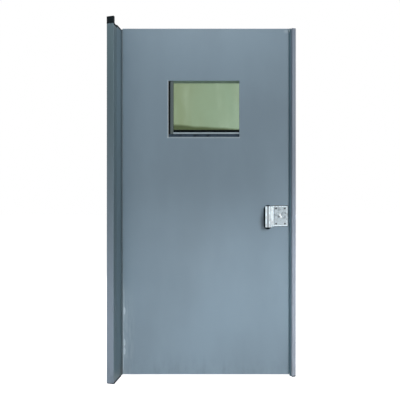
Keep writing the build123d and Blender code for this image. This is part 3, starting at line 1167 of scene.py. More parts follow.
# The lock jamb is painted lighter than the leaf, as painted light, darker at the head and lighter at the
# foot; its splayed side is painted in shade.
LOCK_JAMB_LIT_COLOUR: Colour = (0.232, 0.286, 0.35)
LOCK_JAMB_HEAD_SHADE_COLOUR: Colour = (0.115, 0.154, 0.208)
LOCK_JAMB_FOOT_LIT_COLOUR: Colour = (0.29, 0.332, 0.398)
HINGE_COLOUR: Colour = (0.087, 0.124, 0.147)
# One bead paint in two tones: the side bead painted in shade, the sill bead painted lit from above.
SIDE_BEAD_SHADE_COLOUR: Colour = (0.072, 0.098, 0.1)
SILL_BEAD_LIT_COLOUR: Colour = (0.3, 0.375, 0.42)
REBATE_SHADE_COLOUR: Colour = (0.071, 0.112, 0.14)
GLASS_COLOUR: Colour = (0.25, 0.37, 0.25)
GLASS_WARM_COLOUR: Colour = (0.215, 0.285, 0.155)
GLASS_SILL_COLOUR: Colour = (0.05, 0.08, 0.018)


@dataclass
class HingeSide:
    """The hinge post, the jamb behind it and the full-height hinge."""

    dull_shine: float = 0.08
    seam_radius: float = 0.0028
    corner: float = 0.003
    trim_drop: float = 0.008
    trim_out: float = 0.0015
    trim_profile: Profile = ((0.0, 0.0), (0.6, 0.0), (1.0, -0.2), (1.0, -1.0), (0.0, -1.0))
    mastic_rise: float = 0.009
    mastic_out: float = 0.0025
    mastic_profile: Profile = ((0.0, 0.0), (1.0, 0.0), (0.7, 0.8), (0.0, 1.0))
    end_profile: Profile = ((0.0, 0.0), (1.0, 0.0), (1.0, 0.62), (0.82, 0.86), (0.45, 0.97), (0.0, 1.0))
    end_steps: int = 24
    # A near-black band at the very foot: painted contact shade where the post and the jamb meet the floor.
    foot_shade_band: Band = Band(-0.01, 0.004, (0.03, 0.033, 0.05), 0.7)
    hinge_paint: Enamel = Enamel("hinge_enamel", HINGE_COLOUR, roughness=0.45)
    # A near-black fillet at the foot of the reveal: mastic, and also painted contact shadow.
    shade_mastic: MattRubber = MattRubber("foot_shade_mastic", (0.016, 0.016, 0.028), (0.03, 0.028, 0.042), shine=0.04)
    # Near-black strips along the top of the reveal: the lids' edge, and also the painted shadow line under
    # them.
    shadow_trim_plastic: MattRubber = MattRubber(
        "shadow_trim_plastic", (0.005, 0.009, 0.01), (0.012, 0.018, 0.02), shine=0.05
    )
    # The cap's ribs exist only as painted light and shade, in stripes.
    cap_finish: MattRubber = MattRubber(
        "cap_plastic", (0.004, 0.008, 0.01), (0.013, 0.021, 0.025), 0.55, shine=0.08, rib_pitch=0.0125
    )

    def build(self, shop: Workshop) -> None:
        """Dresses the hinge side and adds its welds, mastic, trim and hinge ends.

        Args:
            shop: The workshop.
        """
        _, post_high = node_box("hinge_post")
        paint = Enamel(
            "hinge_jamb_enamel", FRAME_COLOUR, bands=(self.foot_shade_band,), foot_colour=JAMB_FOOT_COLOUR,
            shine=self.dull_shine,
        )
        # Painted shade on the post, and on its front a painted light that grows towards the foot.
        post_paint = Enamel(
            "hinge_post_enamel", POST_SHADE_COLOUR, bands=(self.foot_shade_band,), head_colour=POST_HEAD_SHADE_COLOUR,
            foot_colour=POST_FOOT_LIT_COLOUR, foot_until=post_high.x - self.corner / 2,
            grime_and_shade_colour=POST_GRIME_COLOUR, shine=self.dull_shine,
        )
        shop.dress(post_paint, "hinge_post", "hinge_post_foot")
        shop.dress(paint, "hinge_jamb", "hinge_jamb_top", "hinge_jamb_foot", "head_rail")
        shop.dress(self.hinge_paint, "hinge_frame_half", "hinge_leaf_half", "hinge_pin")
        shop.dress(self.cap_finish, "hinge_post_cap")
        self.build_seam(shop, paint)
        self.build_mastic(shop)
        self.build_head_trim(shop)
        self.build_hinge_ends(shop)

    def build_seam(self, shop: Workshop, paint: Enamel) -> None:
        """Lays the ground-down welds in the grooves between the post and the jamb.

        Args:
            shop: The workshop.
            paint: The jamb's paint.
        """
        low, high = node_box("hinge_post")
        bead = WeldBead(self.seam_radius, high.z - low.z)
        for side, x in (("room", high.x - self.seam_radius), ("wall", low.x + self.seam_radius)):
            mesh = bead.build(Vector((x, high.y, (low.z + high.z) / 2)), Facing.UP)
            shop.piece(mesh, f"post_weld_{side}", Body.FRAME, paint, "frame_paint")

    def build_mastic(self, shop: Workshop) -> None:
        """Runs a near-black fillet of mastic along the foot of the reveal, which also serves as painted
        contact shadow there.

        Args:
            shop: The workshop.
        """
        low, high = node_box("hinge_post")
        hinge_low, _ = node_box("hinge_leaf_half")
        path = [Vector((high.x, hinge_low.y, low.z)), Vector((high.x, low.y + self.corner, low.z))]
        strip = Moulding.sized(Facing.UP, self.mastic_profile, self.mastic_out, self.mastic_rise)
        shop.piece(strip.build(path), "foot_shade_mastic_strip", Body.FRAME, self.shade_mastic, "rubber")

    def build_head_trim(self, shop: Workshop) -> None:
        """Runs the dark edge of the lids along the top of the reveal, on the post and on the jamb, which
        also serves as the painted shadow line there.

        Args:
            shop: The workshop.
        """
        low, high = node_box("hinge_post")
        hinge_low, _ = node_box("hinge_leaf_half")
        jamb_top = node_box("hinge_jamb")[1].z
        trim = Moulding.sized(Facing.UP, self.trim_profile, self.trim_out, self.trim_drop)
        mesh = bmesh.new()
        for back, front, level in ((high.y, low.y + self.corner, high.z), (hinge_low.y, high.y, jamb_top)):
            merge_into(mesh, trim.build([Vector((high.x, back, level)), Vector((high.x, front, level))]))
        shop.piece(mesh, "reveal_head_trim", Body.FRAME, self.shadow_trim_plastic, "cap_plastic")

    def build_hinge_ends(self, shop: Workshop) -> None:
        """Turns the rounded ends that close the hinge's barrel at the top and the foot.

        Args:
            shop: The workshop.
        """
        pin_low, pin_high = node_box("hinge_pin")
        barrel_low, _ = node_box("hinge_leaf_half")
        jamb_high = node_box("hinge_jamb")[1]
        radius = (pin_low.y + pin_high.y) / 2 - barrel_low.y
        rise = jamb_high.z - pin_high.z
        mesh = bmesh.new()
        for level, way in ((pin_high.z, 1.0), (pin_low.z, -1.0)):
            centre = Vector(((pin_low.x + pin_high.x) / 2, (pin_low.y + pin_high.y) / 2, level))
            merge_into(mesh, self.turned_end(centre, radius, rise * way))
        shop.piece(mesh, "hinge_ends", Body.FRAME, self.hinge_paint, "hinge_steel")

    def turned_end(self, centre: Vector, radius: float, rise: float) -> BMesh:
        """Turns one rounded end.

        Args:
            centre: The middle of its flat side.
            radius: Its radius.
            rise: How far it stands from its flat side, with a sign for up or down.

        Returns:
            Its shape.
        """
        mesh = bmesh.new()
        offsets = [Vector((radius * out, 0, rise * up)) for out, up in self.end_profile]
        points = [mesh.verts.new(centre + offset) for offset in offsets]
        edges = [mesh.edges.new(pair) for pair in zip(points, points[1:])]
        bmesh.ops.spin(
            mesh, geom=points + edges, cent=centre, axis=(0, 0, 1), angle=math.tau, steps=self.end_steps,
            use_merge=True,
        )
        bmesh.ops.remove_doubles(mesh, verts=mesh.verts, dist=TOUCH)
        bmesh.ops.recalc_face_normals(mesh, faces=mesh.faces)
        smooth_by_angle(mesh)
        return mesh


@dataclass
class LockSide:
    """The slim lock jamb and its strike."""

    face_width: float = 0.0265
    foot_fade: Span = (0.2, 1.77)
    bulb_over: float = 0.004
    bulb_section: Profile = (
        (0.0004, 0.0), (0.004, -0.001), (0.0085, -0.0008), (0.0118, 0.0012), (0.0125, 0.006)
    )
    # A near-black band at the very foot: painted contact shade where the jamb meets the floor.
    foot_shade_band: Band = Band(-0.01, 0.006, (0.03, 0.034, 0.05))
    steel: BrightMetal = BrightMetal("satin_steel", (0.5, 0.51, 0.53), roughness=0.32)
    rubber: MattRubber = MattRubber("seal_rubber")
    # A rubber bulb whose blue-grey tone is the painted shade of the gap.
    bulb_gap_shade_rubber: MattRubber = MattRubber(
        "bulb_gap_shade_rubber", (0.105, 0.185, 0.23), (0.125, 0.215, 0.262), shine=0.1
    )

    def build(self, shop: Workshop) -> None:
        """Dresses the lock side and the seals on the stops, and adds the bulb seal.

        Args:
            shop: The workshop.
        """
        _, high = node_box("lock_jamb")
        # Painted light on the jamb's face, fading along its height, and painted shade on its splayed side.
        paint = Enamel(
            "lock_jamb_enamel", LOCK_JAMB_LIT_COLOUR, bands=(self.foot_shade_band,),
            split=(high.x - self.face_width, REBATE_SHADE_COLOUR), head_colour=LOCK_JAMB_HEAD_SHADE_COLOUR,
            foot_colour=LOCK_JAMB_FOOT_LIT_COLOUR, foot_fade=self.foot_fade,
        )
        shop.dress(paint, "lock_jamb", "lock_jamb_top", "lock_jamb_foot")
        shop.dress(self.steel, "strike_plate", "latch_faceplate", "latch_bolt")
        shop.dress(self.rubber, "head_seal", "hinge_side_seal", "lock_side_seal")
        self.build_bulb_seal(shop)

    def build_bulb_seal(self, shop: Workshop) -> None:
        """Runs a bulb of rubber up the root of the jamb's splay, beside the leaf's edge; its blue-grey
        stands in for the shade in the gap there.

        Args:
            shop: The workshop.
        """
        low, high = node_box("lock_jamb")
        root = node_box("strike_plate")[0].x
        front = node_box("leaf_front_skin")[0].y
        bulb = Moulding(Facing.LOCK_SIDE, self.bulb_section)
        path = [Vector((root, front, low.z)), Vector((root, front, high.z + self.bulb_over))]
        shop.piece(bulb.build(path), "lock_bulb_seal", Body.FRAME, self.bulb_gap_shade_rubber, "rubber")


@dataclass
class Leaf:
    """The leaf: two enamelled skins over edge channels and an armour core."""

    chip_heights: tuple[float, ...] = (0.393, 0.2, 0.148)
    chip_in: float = 0.012
    chip_reach: Point = (0.0075, 0.02, 0.026)
    corner_in: float = 0.016
    corner_drop: float = 0.018
    corner_reach: Point = (0.02, 0.02, 0.018)
    # Where the painted highlight runs along the arris of the hinge edge.
    highlight_in: float = 0.006
    highlight_width: float = 0.011
    highlight_top: float = 0.78
    cutout_margin: float = 0.003
    # The painted shadow that the paddle casts on the leaf: its offset, its reach and its strength.
    cast_shadow_left: float = 0.008
    cast_shadow_drop: float = 0.033
    cast_shadow_reach: Point = (0.044, 0.02, 0.073)
    cast_shadow_strength: float = 0.48
    seal_back: float = 0.001
    seal_width: float = 0.008
    seal_out: float = 0.0034
    seal_round: float = 0.0008
    board: FibreBoard = FibreBoard("core_board")
    seal_rubber: MattRubber = MattRubber(
        "edge_seal_rubber", (0.13, 0.205, 0.25), (0.15, 0.235, 0.285), shine=0.1
    )

    def build(self, shop: Workshop) -> None:
        """Dresses the leaf and adds the seal on its edge.

        Args:
            shop: The workshop.
        """
        paint = Enamel(
            "leaf_enamel", LEAF_COLOUR, painted_shades=(self.paddle_cast_shadow(),), chips=self.chips(), edge_highlights=self.edge_highlights(),
            lines=self.cutout_highlights(), grime_and_shade_colour=LEAF_DIRT_AND_SHADE_COLOUR,
        )
        shop.dress(
            paint, "leaf_front_skin", "leaf_back_skin", "leaf_hinge_channel", "leaf_lock_channel",
            "leaf_top_channel", "leaf_bottom_channel",
        )
        shop.dress(
            self.board, "core_below_window", "core_above_window", "core_hinge_side", "core_lock_side"
        )
        self.build_edge_seal(shop)

    def chips(self) -> tuple[Chip, ...]:
        """Gives the chips low on the hinge edge and the faint one in the upper corner at the lock side.

        Returns:
            The chips.
        """
        low, high = node_box("leaf_front_skin")
        places = [(low.x + self.chip_in, low.y, height) for height in self.chip_heights]
        corner = (high.x - self.corner_in, low.y, high.z - self.corner_drop)
        faint = Chip(corner, self.corner_reach, strength=0.34, soft=0.95)
        return (*(Chip(place, self.chip_reach) for place in places), faint)

    def edge_highlights(self) -> tuple[EdgeHighlight, ...]:
        """Gives the sharp painted highlight on the arris of the hinge edge, and the wide painted light
        along that edge low down.

        Returns:
            The two rubs.
        """
        low, _ = node_box("leaf_front_skin")
        return (
            EdgeHighlight(low.x + self.highlight_in, self.highlight_width, low.z + self.highlight_top / 2, self.highlight_top),
            EdgeHighlight(edge=low.x, width=0.1, low=0.3, high=0.62, strength=0.32),
        )

    def paddle_cast_shadow(self) -> PaintedShade:
        """Gives the painted shadow that the paddle casts on the leaf, to its left and below.

        Returns:
            The mark.
        """
        face = node_box("leaf_front_skin")[0].y
        low, high = node_box("pull_paddle")
        centre = (low.x - self.cast_shadow_left, face, (low.z + high.z) / 2 - self.cast_shadow_drop)
        return PaintedShade(centre, self.cast_shadow_reach, self.cast_shadow_strength)

    def build_edge_seal(self, shop: Workshop) -> None:
        """Runs a slim strip of rubber up the lock edge, just behind the front skin's face.

        Args:
            shop: The workshop.
        """
        low, high = node_box("leaf_front_skin")
        front, out, soft = -self.seal_back, self.seal_out, self.seal_round
        back = front - self.seal_width
        strip = Moulding(
            Facing.LOCK_SIDE,
            ((front, 0.0), (front, out - soft), (front - soft, out), (back + soft, out), (back, out - soft),
             (back, 0.0)),
        )
        path = [Vector((high.x, low.y, low.z)), Vector((high.x, low.y, high.z))]
        shop.piece(strip.build(path), "leaf_edge_seal", Body.LEAF, self.seal_rubber, "rubber")

    def cutout_highlights(self) -> tuple[HighlightLine, ...]:
        """Gives the painted highlights along the hinge side and the foot of the cut-out for the glass.

        Returns:
            The two lines.
        """
        low, high = node_box("window_edge_gasket")
        left, right = low.x - self.cutout_margin, high.x
        foot = low.z - self.cutout_margin
        face = node_box("leaf_front_skin")[0].y
        corner = (left, face, foot)
        return HighlightLine(corner, (left, face, high.z)), HighlightLine(corner, (right, face, foot))


@dataclass
class Window:
    """The glazed panel with its beads, gaskets and the frame on the back."""

    screw: Screw = Screw(0.0042, 0.0016)
    screw_gap: float = 0.11
    sill_shade: Span = (0.026, 0.046)
    fillet_drop: float = 0.012
    fillet_profile: Profile = ((0.0, 0.0), (0.0, 1.0), (-1.0, 1.0))
    lip_rise: float = 0.0048
    lip_profile: Profile = ((0.0, 0.0), (0.0, 1.0), (-1.0, 1.0), (-0.8, 0.8))
    paint: Enamel = Enamel("back_frame_enamel", LEAF_COLOUR)
    # The sill bead's paint is painted lit and the side bead's is painted in shade.
    sill_lit_paint: Enamel = Enamel("sill_bead_lit_enamel", SILL_BEAD_LIT_COLOUR)
    side_shaded_paint: Enamel = Enamel("side_bead_shaded_enamel", SIDE_BEAD_SHADE_COLOUR)
    rubber: MattRubber = MattRubber(
        "gasket_rubber", (0.004, 0.007, 0.009), (0.008, 0.014, 0.018), shine=0.05
    )
    sealant: MattRubber = MattRubber("green_sealant", (0.21, 0.31, 0.24), (0.26, 0.37, 0.29), shine=0.1)
    steel: BrightMetal = BrightMetal("screw_steel", (0.52, 0.53, 0.55), roughness=0.3)

    def build(self, shop: Workshop) -> None:
        """Dresses the panel and adds its sealant, its lip and the screws of its back frame.

        Args:
            shop: The workshop.
        """
        low, high = node_box("window_glass")
        sill_top = node_box("window_sill_gasket")[1].z
        shade_low, shade_high = (sill_top + rise for rise in self.sill_shade)
        glass = GreenGlass(
            "laminated_glass", GLASS_COLOUR, GLASS_WARM_COLOUR, GLASS_SILL_COLOUR, shade_low, shade_high,
            low.x, high.x,
        )
        # The edge gasket takes a lighter navy tone below the sill bead.
        tone_below = node_box("window_sill_bead")[0].z
        two_tone_rubber = replace(self.rubber, name="edge_gasket_rubber", tone_below=tone_below)
        shop.dress(glass, "window_glass")
        shop.dress(self.paint, "window_back_frame")
        shop.dress(self.sill_lit_paint, "window_sill_bead")
        shop.dress(self.side_shaded_paint, "window_side_bead")
        shop.dress(self.rubber, "window_sill_gasket", "window_back_gasket")
        shop.dress(two_tone_rubber, "window_edge_gasket")
        shop.dress(self.sealant, "window_lip_seal")
        self.build_fillet(shop)
        heads = screw_row(self.screw, self.screw_seats(), Facing.BACK)
        shop.piece(heads, "window_frame_screws", Body.LEAF, self.steel, "edge_steel")

    def build_fillet(self, shop: Workshop) -> None:
        """Runs a fillet of sealant above the glass and a rubber lip along its sill.

        Args:
            shop: The workshop.
        """
        left, _, top = node_box("window_side_bead")[1]
        right, _, bottom = node_box("window_sill_gasket")[1]
        front, back = (corner.y for corner in node_box("window_lip_seal"))
        head = [Vector((right, front, top)), Vector((left, front, top))]
        fillet = Moulding.sized(Facing.BACK, self.fillet_profile, self.fillet_drop, back - front)
        shop.piece(fillet.build(head), "window_sealant_fillet", Body.LEAF, self.sealant, "rubber")
        sill = [Vector((left, front, bottom)), Vector((right, front, bottom))]
        lip = Moulding.sized(Facing.BACK, self.lip_profile, self.lip_rise, back - front)
        shop.piece(lip.build(sill), "window_sill_lip", Body.LEAF, self.rubber, "rubber")

    def screw_seats(self) -> list[Vector]:
        """Spaces screws along the four sides of the back frame.

        Returns:
            The middle of each head's underside.
        """
        low, high = node_box("window_back_frame")
        glass_low, _ = node_box("window_glass")
        inset = (glass_low.x - low.x) / 2
        corners = [
            Vector((x, high.y, z))
            for x, z in (
                (low.x + inset, low.z + inset), (high.x - inset, low.z + inset),
                (high.x - inset, high.z - inset), (low.x + inset, high.z - inset),
            )
        ]
        seats = []
        for start, end in zip(corners, corners[1:] + corners[:1]):
            count = max(1, round((end - start).length / self.screw_gap))
            seats += [start.lerp(end, step / count) for step in range(count)]
        return seats


@dataclass
class Latch:
    """The bright latch: plate, paddle, thumb turn and the plates on the back and the edge."""

    screw: Screw = Screw(0.0052, 0.002)
    edge_screw: Screw = Screw(0.0038, 0.0008)
    inset: Span = (0.0175, 0.0155)
    back_inset: Span = (0.009, 0.009)
    edge_inset: float = 0.009
    turn_length: float = 0.032
    turn_width: float = 0.0145
    turn_waist: float = 0.28
    turn_segments: int = 64
    turn_round: float = 0.003
    turn_round_steps: int = 4
    turn_rim: float = 0.00145
    turn_dish: float = 0.0022
    turn_crown: float = 0.0012
    turn_gap: float = 0.0005
    turn_tilt: float = math.radians(20)
    # Black pads that are partly mounting pads and partly painted shadow around the plate and behind the
    # paddle.
    pad_margin: float = 0.0025
    pad_thickness: float = 0.0008
    pad_corner_steps: int = 12
    pad_rim_steps: int = 2
    shadow_pad_width: float = 0.05
    shadow_pad_height: float = 0.147
    shadow_pad_corner: float = 0.0245
    shadow_pad_drop: float = 0.0035
    shadow_pad_gap: float = 0.001
    # Where the painted shade at the lower left of the thumb turn lies, and how far it reaches.
    grip_shade_offset: Span = (-0.0115, -0.004)
    grip_shade_reach: Point = (0.011, 0.02, 0.01)
    plate_skin: float = 0.0008
    rose_skin: float = 0.001
    stain_run: float = 0.05
    # The depths behind the ridges' front between which the flutes take a painted shade tone.
    ridge_shade_depths: Span = (0.001, 0.0045)
    shadow_pad_rubber: MattRubber = MattRubber(
        "latch_shadow_pad_rubber", (0.007, 0.014, 0.019), (0.014, 0.026, 0.034), shine=0.08
    )
    zinc: BrightMetal = BrightMetal("bright_zinc", (0.8, 0.91, 0.96), roughness=0.24)
    dark_steel: BrightMetal = BrightMetal(
        "latch_screw_steel", (0.075, 0.08, 0.085), roughness=0.4, stain=(0.04, 0.042, 0.045)
    )

    def build(self, shop: Workshop) -> None:
        """Dresses the latch and adds its turn, its black pads of painted shadow and its screws.

        Args:
            shop: The workshop.
        """
        self.dress(shop)
        self.build_turn(shop)
        self.build_shadow_pads(shop)
        rose_back = node_box("turn_rose")[1].y
        field_low, field_high = self.field_corners()
        seats = self.corner_seats(field_low, field_high, rose_back, self.inset)
        self.build_screws(shop, "latch_plate_screws", seats, Facing.FRONT)
        low, high = node_box("lock_back_plate")
        seats = self.corner_seats(low, high, high.y, self.back_inset)
        self.build_screws(shop, "back_plate_screws", seats, Facing.BACK)
        self.build_edge_screws(shop)

    def field_corners(self) -> tuple[Vector, Vector]:
        """Gives the corners of the front plate without its ears.

        Returns:
            The lowest and highest corners.
        """
        low, high = node_box("lock_plate")
        rose_low, rose_high = node_box("turn_rose")
        middle = (rose_low.x + rose_high.x) / 2
        return Vector((2 * middle - high.x, low.y, low.z)), high

    def dress(self, shop: Workshop) -> None:
        """Dresses the CAD nodes of the latch.

        Args:
            shop: The workshop.
        """
        shop.dress(self.zinc, "paddle_pin", "thumb_turn", "lock_back_plate", "key_cylinder")
        low, high = node_box("lock_plate")
        rose_low, rose_high = node_box("turn_rose")
        rose_middle = (rose_low + rose_high) / 2
        across, up = self.grip_shade_offset
        grip_shade_centre = (rose_middle.x + across, rose_high.y, rose_middle.z + up)
        plate_middle = (low.z + high.z) / 2
        # The plate's recessed field takes a painted shade tone and its rim stays bright as a painted
        # highlight; a patch of painted shade lies at the lower left of the turn.
        plate_finish = replace(
            self.zinc, name="plate_zinc", shade_from=rose_high.y - self.plate_skin,
            shade_tone=(0.47, 0.545, 0.59), stain=(0.165, 0.2, 0.22), stain_amount=0.85, stain_scale=75.0,
            stain_fade=(plate_middle - self.stain_run, plate_middle),
            painted_shades=(PaintedShade(grip_shade_centre, self.grip_shade_reach, strength=0.75),),
        )
        shop.dress(plate_finish, "lock_plate")
        # The whole rose takes the painted shade tone.
        rose_finish = replace(plate_finish, name="rose_zinc", shade_from=rose_low.y - self.rose_skin)
        shop.dress(rose_finish, "turn_rose")
        # The paddle's flutes take a painted shade tone, and its ridges stay bright as painted highlights.
        ridge_front = node_box("pull_paddle")[0].y
        shade_from, shade_until = (ridge_front + depth for depth in self.ridge_shade_depths)
        paddle_finish = replace(
            self.zinc, name="paddle_zinc", shade_from=shade_from, shade_run=0.0016, shade_until=shade_until,
            shade_tone=(0.3, 0.36, 0.395),
        )
        shop.dress(paddle_finish, "pull_paddle")

    def corner_seats(self, low: Vector, high: Vector, face: float, inset: Span) -> list[Vector]:
        """Places a screw near each corner of a plate.

        Args:
            low: The plate's lowest corner.
            high: The plate's highest corner.
            face: The depth of the face that the heads sit on.
            inset: How far in from the sides and from the ends the screws are.

        Returns:
            The middle of each head's underside.
        """
        across, up = inset
        return [
            Vector((x, face, z))
            for x in (low.x + across, high.x - across)
            for z in (low.z + up, high.z - up)
        ]

    def build_screws(self, shop: Workshop, name: str, seats: list[Vector], facing: Facing) -> None:
        """Adds the screws of a plate as one piece."""
        heads = screw_row(self.screw, seats, facing)
        shop.piece(heads, name, Body.LEAF, self.dark_steel, "lock_metal")

    def build_turn(self, shop: Workshop) -> None:
        """Shapes the thumb turn: a waisted oval grip with a dished middle.

        Args:
            shop: The workshop.
        """
        low, high = node_box("thumb_turn")
        seat_y = node_box("turn_rose")[0].y - self.turn_gap
        centre = Vector(((low.x + high.x) / 2, seat_y, (low.z + high.z) / 2))
        mesh = bmesh.new()
        bmesh.ops.create_circle(mesh, cap_ends=True, segments=self.turn_segments, radius=1.0)
        half_long, half_wide = self.turn_length / 2, self.turn_width / 2
        for vert in mesh.verts:
            across, along = vert.co.x, vert.co.y
            waist = 1 - self.turn_waist * (1 - along * along)
            vert.co = Vector((across * half_wide * waist, along * half_long, 0))
        thicken(mesh, seat_y - low.y, self.turn_round, self.turn_round_steps)
        crown = max(upper_faces(mesh, least=0.99), key=lambda face: face.calc_center_median().z)
        bmesh.ops.inset_region(mesh, faces=[crown], thickness=self.turn_rim, depth=-self.turn_dish)
        turn = Facing.FRONT.turn @ Matrix.Rotation(self.turn_tilt, 4, "Z")
        bmesh.ops.transform(mesh, matrix=Matrix.Translation(centre) @ turn, verts=mesh.verts)
        smooth_by_angle(mesh)
        # Only the grip's crown stays bright, as a painted highlight; its dish and its sides take a painted
        # shade tone.
        finish = replace(
            self.zinc, name="turn_zinc", colour=(0.86, 0.9, 0.92), shade_from=low.y + self.turn_crown,
            shade_run=0.002, shade_tone=(0.3, 0.325, 0.34),
        )
        grip = shop.piece(mesh, "turn_grip", Body.TURN, finish, "lock_metal")
        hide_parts("thumb_turn")

    def build_shadow_pads(self, shop: Workshop) -> None:
        """Lays the black pads under the plate and behind the paddle, which are partly mounting pads and
        partly painted shadow around them.

        Args:
            shop: The workshop.
        """
        low, high = node_box("lock_plate")
        face = node_box("leaf_front_skin")[0].y
        grow = 2 * self.pad_margin
        middle = Vector(((low.x + high.x) / 2, face, (low.z + high.z) / 2))
        size = (high.x - low.x + grow, high.z - low.z + grow)
        self.build_shadow_pad(shop, "latch_plate_shadow_pad", middle, size, self.pad_margin)
        paddle_low, paddle_high = node_box("pull_paddle")
        shadow_pad_x = low.x - self.shadow_pad_gap - self.shadow_pad_width / 2
        shadow_pad_z = (paddle_low.z + paddle_high.z) / 2 - self.shadow_pad_drop
        size = (self.shadow_pad_width, self.shadow_pad_height)
        self.build_shadow_pad(shop, "paddle_shadow_pad", Vector((shadow_pad_x, face, shadow_pad_z)), size, self.shadow_pad_corner)

    def build_shadow_pad(self, shop: Workshop, name: str, middle: Vector, size: Span, corner: float) -> None:
        """Lays one black pad with rounded corners on the leaf, partly a pad and partly painted shadow.

        Args:
            shop: The workshop.
            name: The piece's name.
            middle: The middle of the pad's back.
            size: Its width and height.
            corner: The radius of its corners.
        """
        mesh = bmesh.new()
        bmesh.ops.create_grid(mesh, x_segments=1, y_segments=1, size=0.5)
        bmesh.ops.scale(mesh, vec=(*size, 1), verts=mesh.verts)
        bmesh.ops.bevel(
            mesh, geom=mesh.verts, offset=corner, affect="VERTICES", segments=self.pad_corner_steps,
            profile=0.5, material=-1,
        )
        thicken(mesh, self.pad_thickness, self.pad_thickness / 2, self.pad_rim_steps)
        bmesh.ops.transform(mesh, matrix=Matrix.Translation(middle) @ Facing.FRONT.turn, verts=mesh.verts)
        smooth_by_angle(mesh)
        shop.piece(mesh, name, Body.LEAF, self.shadow_pad_rubber, "rubber")

    def build_edge_screws(self, shop: Workshop) -> None:
        """Adds the screws of the faceplate and of the strike.

        Args:
            shop: The workshop.
        """
        for node, body, facing in (
            ("latch_faceplate", Body.LEAF, Facing.LOCK_SIDE),
            ("strike_plate", Body.FRAME, Facing.HINGE_SIDE),
        ):
            low, high = node_box(node)
            face = high.x if facing is Facing.LOCK_SIDE else low.x
            middle = (low.y + high.y) / 2
            seats = [Vector((face, middle, z)) for z in (low.z + self.edge_inset, high.z - self.edge_inset)]
            heads = screw_row(self.edge_screw, seats, facing)
            shop.piece(heads, f"{node}_screws", body, self.dark_steel, "edge_steel")


@dataclass(frozen=True)
class Lamp:
    """A flat soft lamp, by its place and target, its width and height in metres and its power in watts.

    A lamp without shine lights surfaces and isn't mirrored in them. The beam is an angle in degrees.
    """

    name: str
    place: Point
    target: Point
    size: Span
    power: float
    shine: bool = False
    beam: float = 180.0

    def build(self) -> None:
        """Hangs the lamp where neither the camera nor the glass shows it."""
        data = bpy.data.lights.new(self.name, "AREA")
        data.shape = "RECTANGLE"
        data.size, data.size_y = self.size
        data.energy = self.power
        data.spread = math.radians(self.beam)
        lamp = bpy.data.objects.new(self.name, data)
        lamp.location = self.place
        way = Vector(self.target) - Vector(self.place)
        lamp.rotation_euler = way.to_track_quat("-Z", "Y").to_euler()
        lamp.visible_camera = False
        lamp.visible_transmission = False
        lamp.visible_glossy = self.shine
        bpy.context.scene.collection.objects.link(lamp)


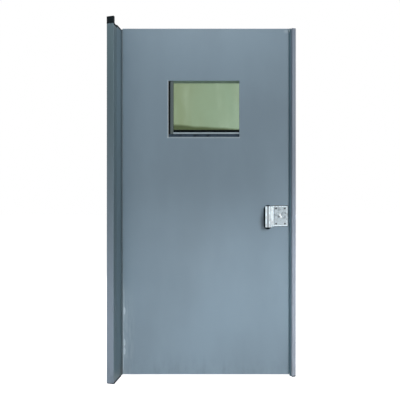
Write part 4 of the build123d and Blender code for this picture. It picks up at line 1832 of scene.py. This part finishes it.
@dataclass
class Studio:
    """The camera, the pale floor and the soft light."""

    camera_place: Point = (0.9655, -3.0, 1.071)
    lens: float = 44.46
    sensor: float = 36.0
    shift: Span = (-0.1825, -0.0025)
    floor_reach: float = 30.0
    world_light: float = 0.125
    floor_lift: float = 0.9
    floor_tone: Colour = (0.86, 0.86, 0.86)
    floor_roughness: float = 0.9
    lamps: tuple[Lamp, ...] = (
        Lamp("key", (3.0, -2.9, 2.3), (0.6, 0.0, 1.1), (1.6, 1.6), 54.0, shine=True),
        Lamp("low_left", (0.14, -2.8, 0.5), (0.05, 0.0, 0.3), (0.35, 0.35), 3.2, beam=60.0),
        Lamp("low_right", (1.75, -1.5, 1.55), (0.95, 0.0, 0.43), (0.5, 0.4), 1.7, beam=46.0),
        Lamp("top", (0.4, -1.2, 2.8), (0.45, 0.0, 2.0), (0.9, 0.4), 12.6),
        Lamp("back_left", (-1.7, 3.2, 2.2), (0.5, 0.1, 1.1), (2.2, 2.2), 40.0),
        Lamp("back_right", (2.9, 3.4, 2.0), (0.6, 0.1, 1.1), (2.2, 2.2), 32.0),
    )

    def build(self) -> None:
        """Sets up the camera, the floor, the world and the lamps."""
        self.build_camera()
        self.build_floor()
        self.build_world()
        for lamp in self.lamps:
            lamp.build()
        bpy.context.scene.view_settings.view_transform = "Standard"

    def build_camera(self) -> None:
        """Places the camera square to the leaf, with the photograph's shift."""
        data = bpy.data.cameras.new("photo_camera")
        data.lens = self.lens
        data.sensor_width = self.sensor
        data.sensor_fit = "HORIZONTAL"
        data.shift_x, data.shift_y = self.shift
        camera = bpy.data.objects.new("photo_camera", data)
        camera.location = self.camera_place
        camera.rotation_euler = (math.radians(90), 0, 0)
        bpy.context.scene.collection.objects.link(camera)
        bpy.context.scene.camera = camera

    def build_floor(self) -> None:
        """Lays the pale floor, which the camera sees as white apart from shadows."""
        mesh = bmesh.new()
        bmesh.ops.create_grid(mesh, x_segments=1, y_segments=1, size=self.floor_reach)
        data = bpy.data.meshes.new("studio_floor")
        mesh.to_mesh(data)
        mesh.free()
        floor = bpy.data.objects.new("studio_floor", data)
        bpy.context.scene.collection.objects.link(floor)
        material = bpy.data.materials.new("studio_floor")
        material.use_nodes = True
        graph = Graph(material.node_tree)
        shader = material.node_tree.nodes["Principled BSDF"]
        shader.inputs["Base Color"].default_value = rgba(self.floor_tone)
        shader.inputs["Roughness"].default_value = self.floor_roughness
        shader.inputs["Specular IOR Level"].default_value = 0.0
        shader.inputs["Emission Color"].default_value = WHITE
        lift = graph.math("MULTIPLY", self.seen(graph), self.floor_lift)
        graph.put(shader.inputs["Emission Strength"], lift)
        data.materials.append(material)

    def seen(self, graph: Graph) -> NodeSocket:
        """Tells rays that show the background apart from those that only light the object.

        Args:
            graph: The floor's or the world's graph.

        Returns:
            1 for the camera's rays and for those seen in metal or through glass.
        """
        path = graph.add("ShaderNodeLightPath").outputs
        shown = graph.math("MAXIMUM", path["Is Camera Ray"], path["Is Transmission Ray"])
        return graph.math("MAXIMUM", shown, path["Is Glossy Ray"])

    def build_world(self) -> None:
        """Makes the world white to the camera, in metal and through glass, and a plain light elsewhere."""
        world = bpy.data.worlds.new("studio_world")
        bpy.context.scene.world = world
        world.use_nodes = True
        graph = Graph(world.node_tree)
        sky = world.node_tree.nodes["Background"]
        strength = graph.ramp(self.seen(graph), 0.0, 1.0, smooth=False, ends=(self.world_light, 1.0))
        sky.inputs["Color"].default_value = WHITE
        graph.put(sky.inputs["Strength"], strength)


def main() -> None:
    """Builds each sub-assembly, then the studio."""
    logging.basicConfig(level=logging.INFO, format="%(name)s: %(message)s")
    shop = Workshop()
    for assembly in (HingeSide(), LockSide(), Leaf(), Window(), Latch()):
        assembly.build(shop)
    Studio().build()


if __name__ == "__main__":
    main()
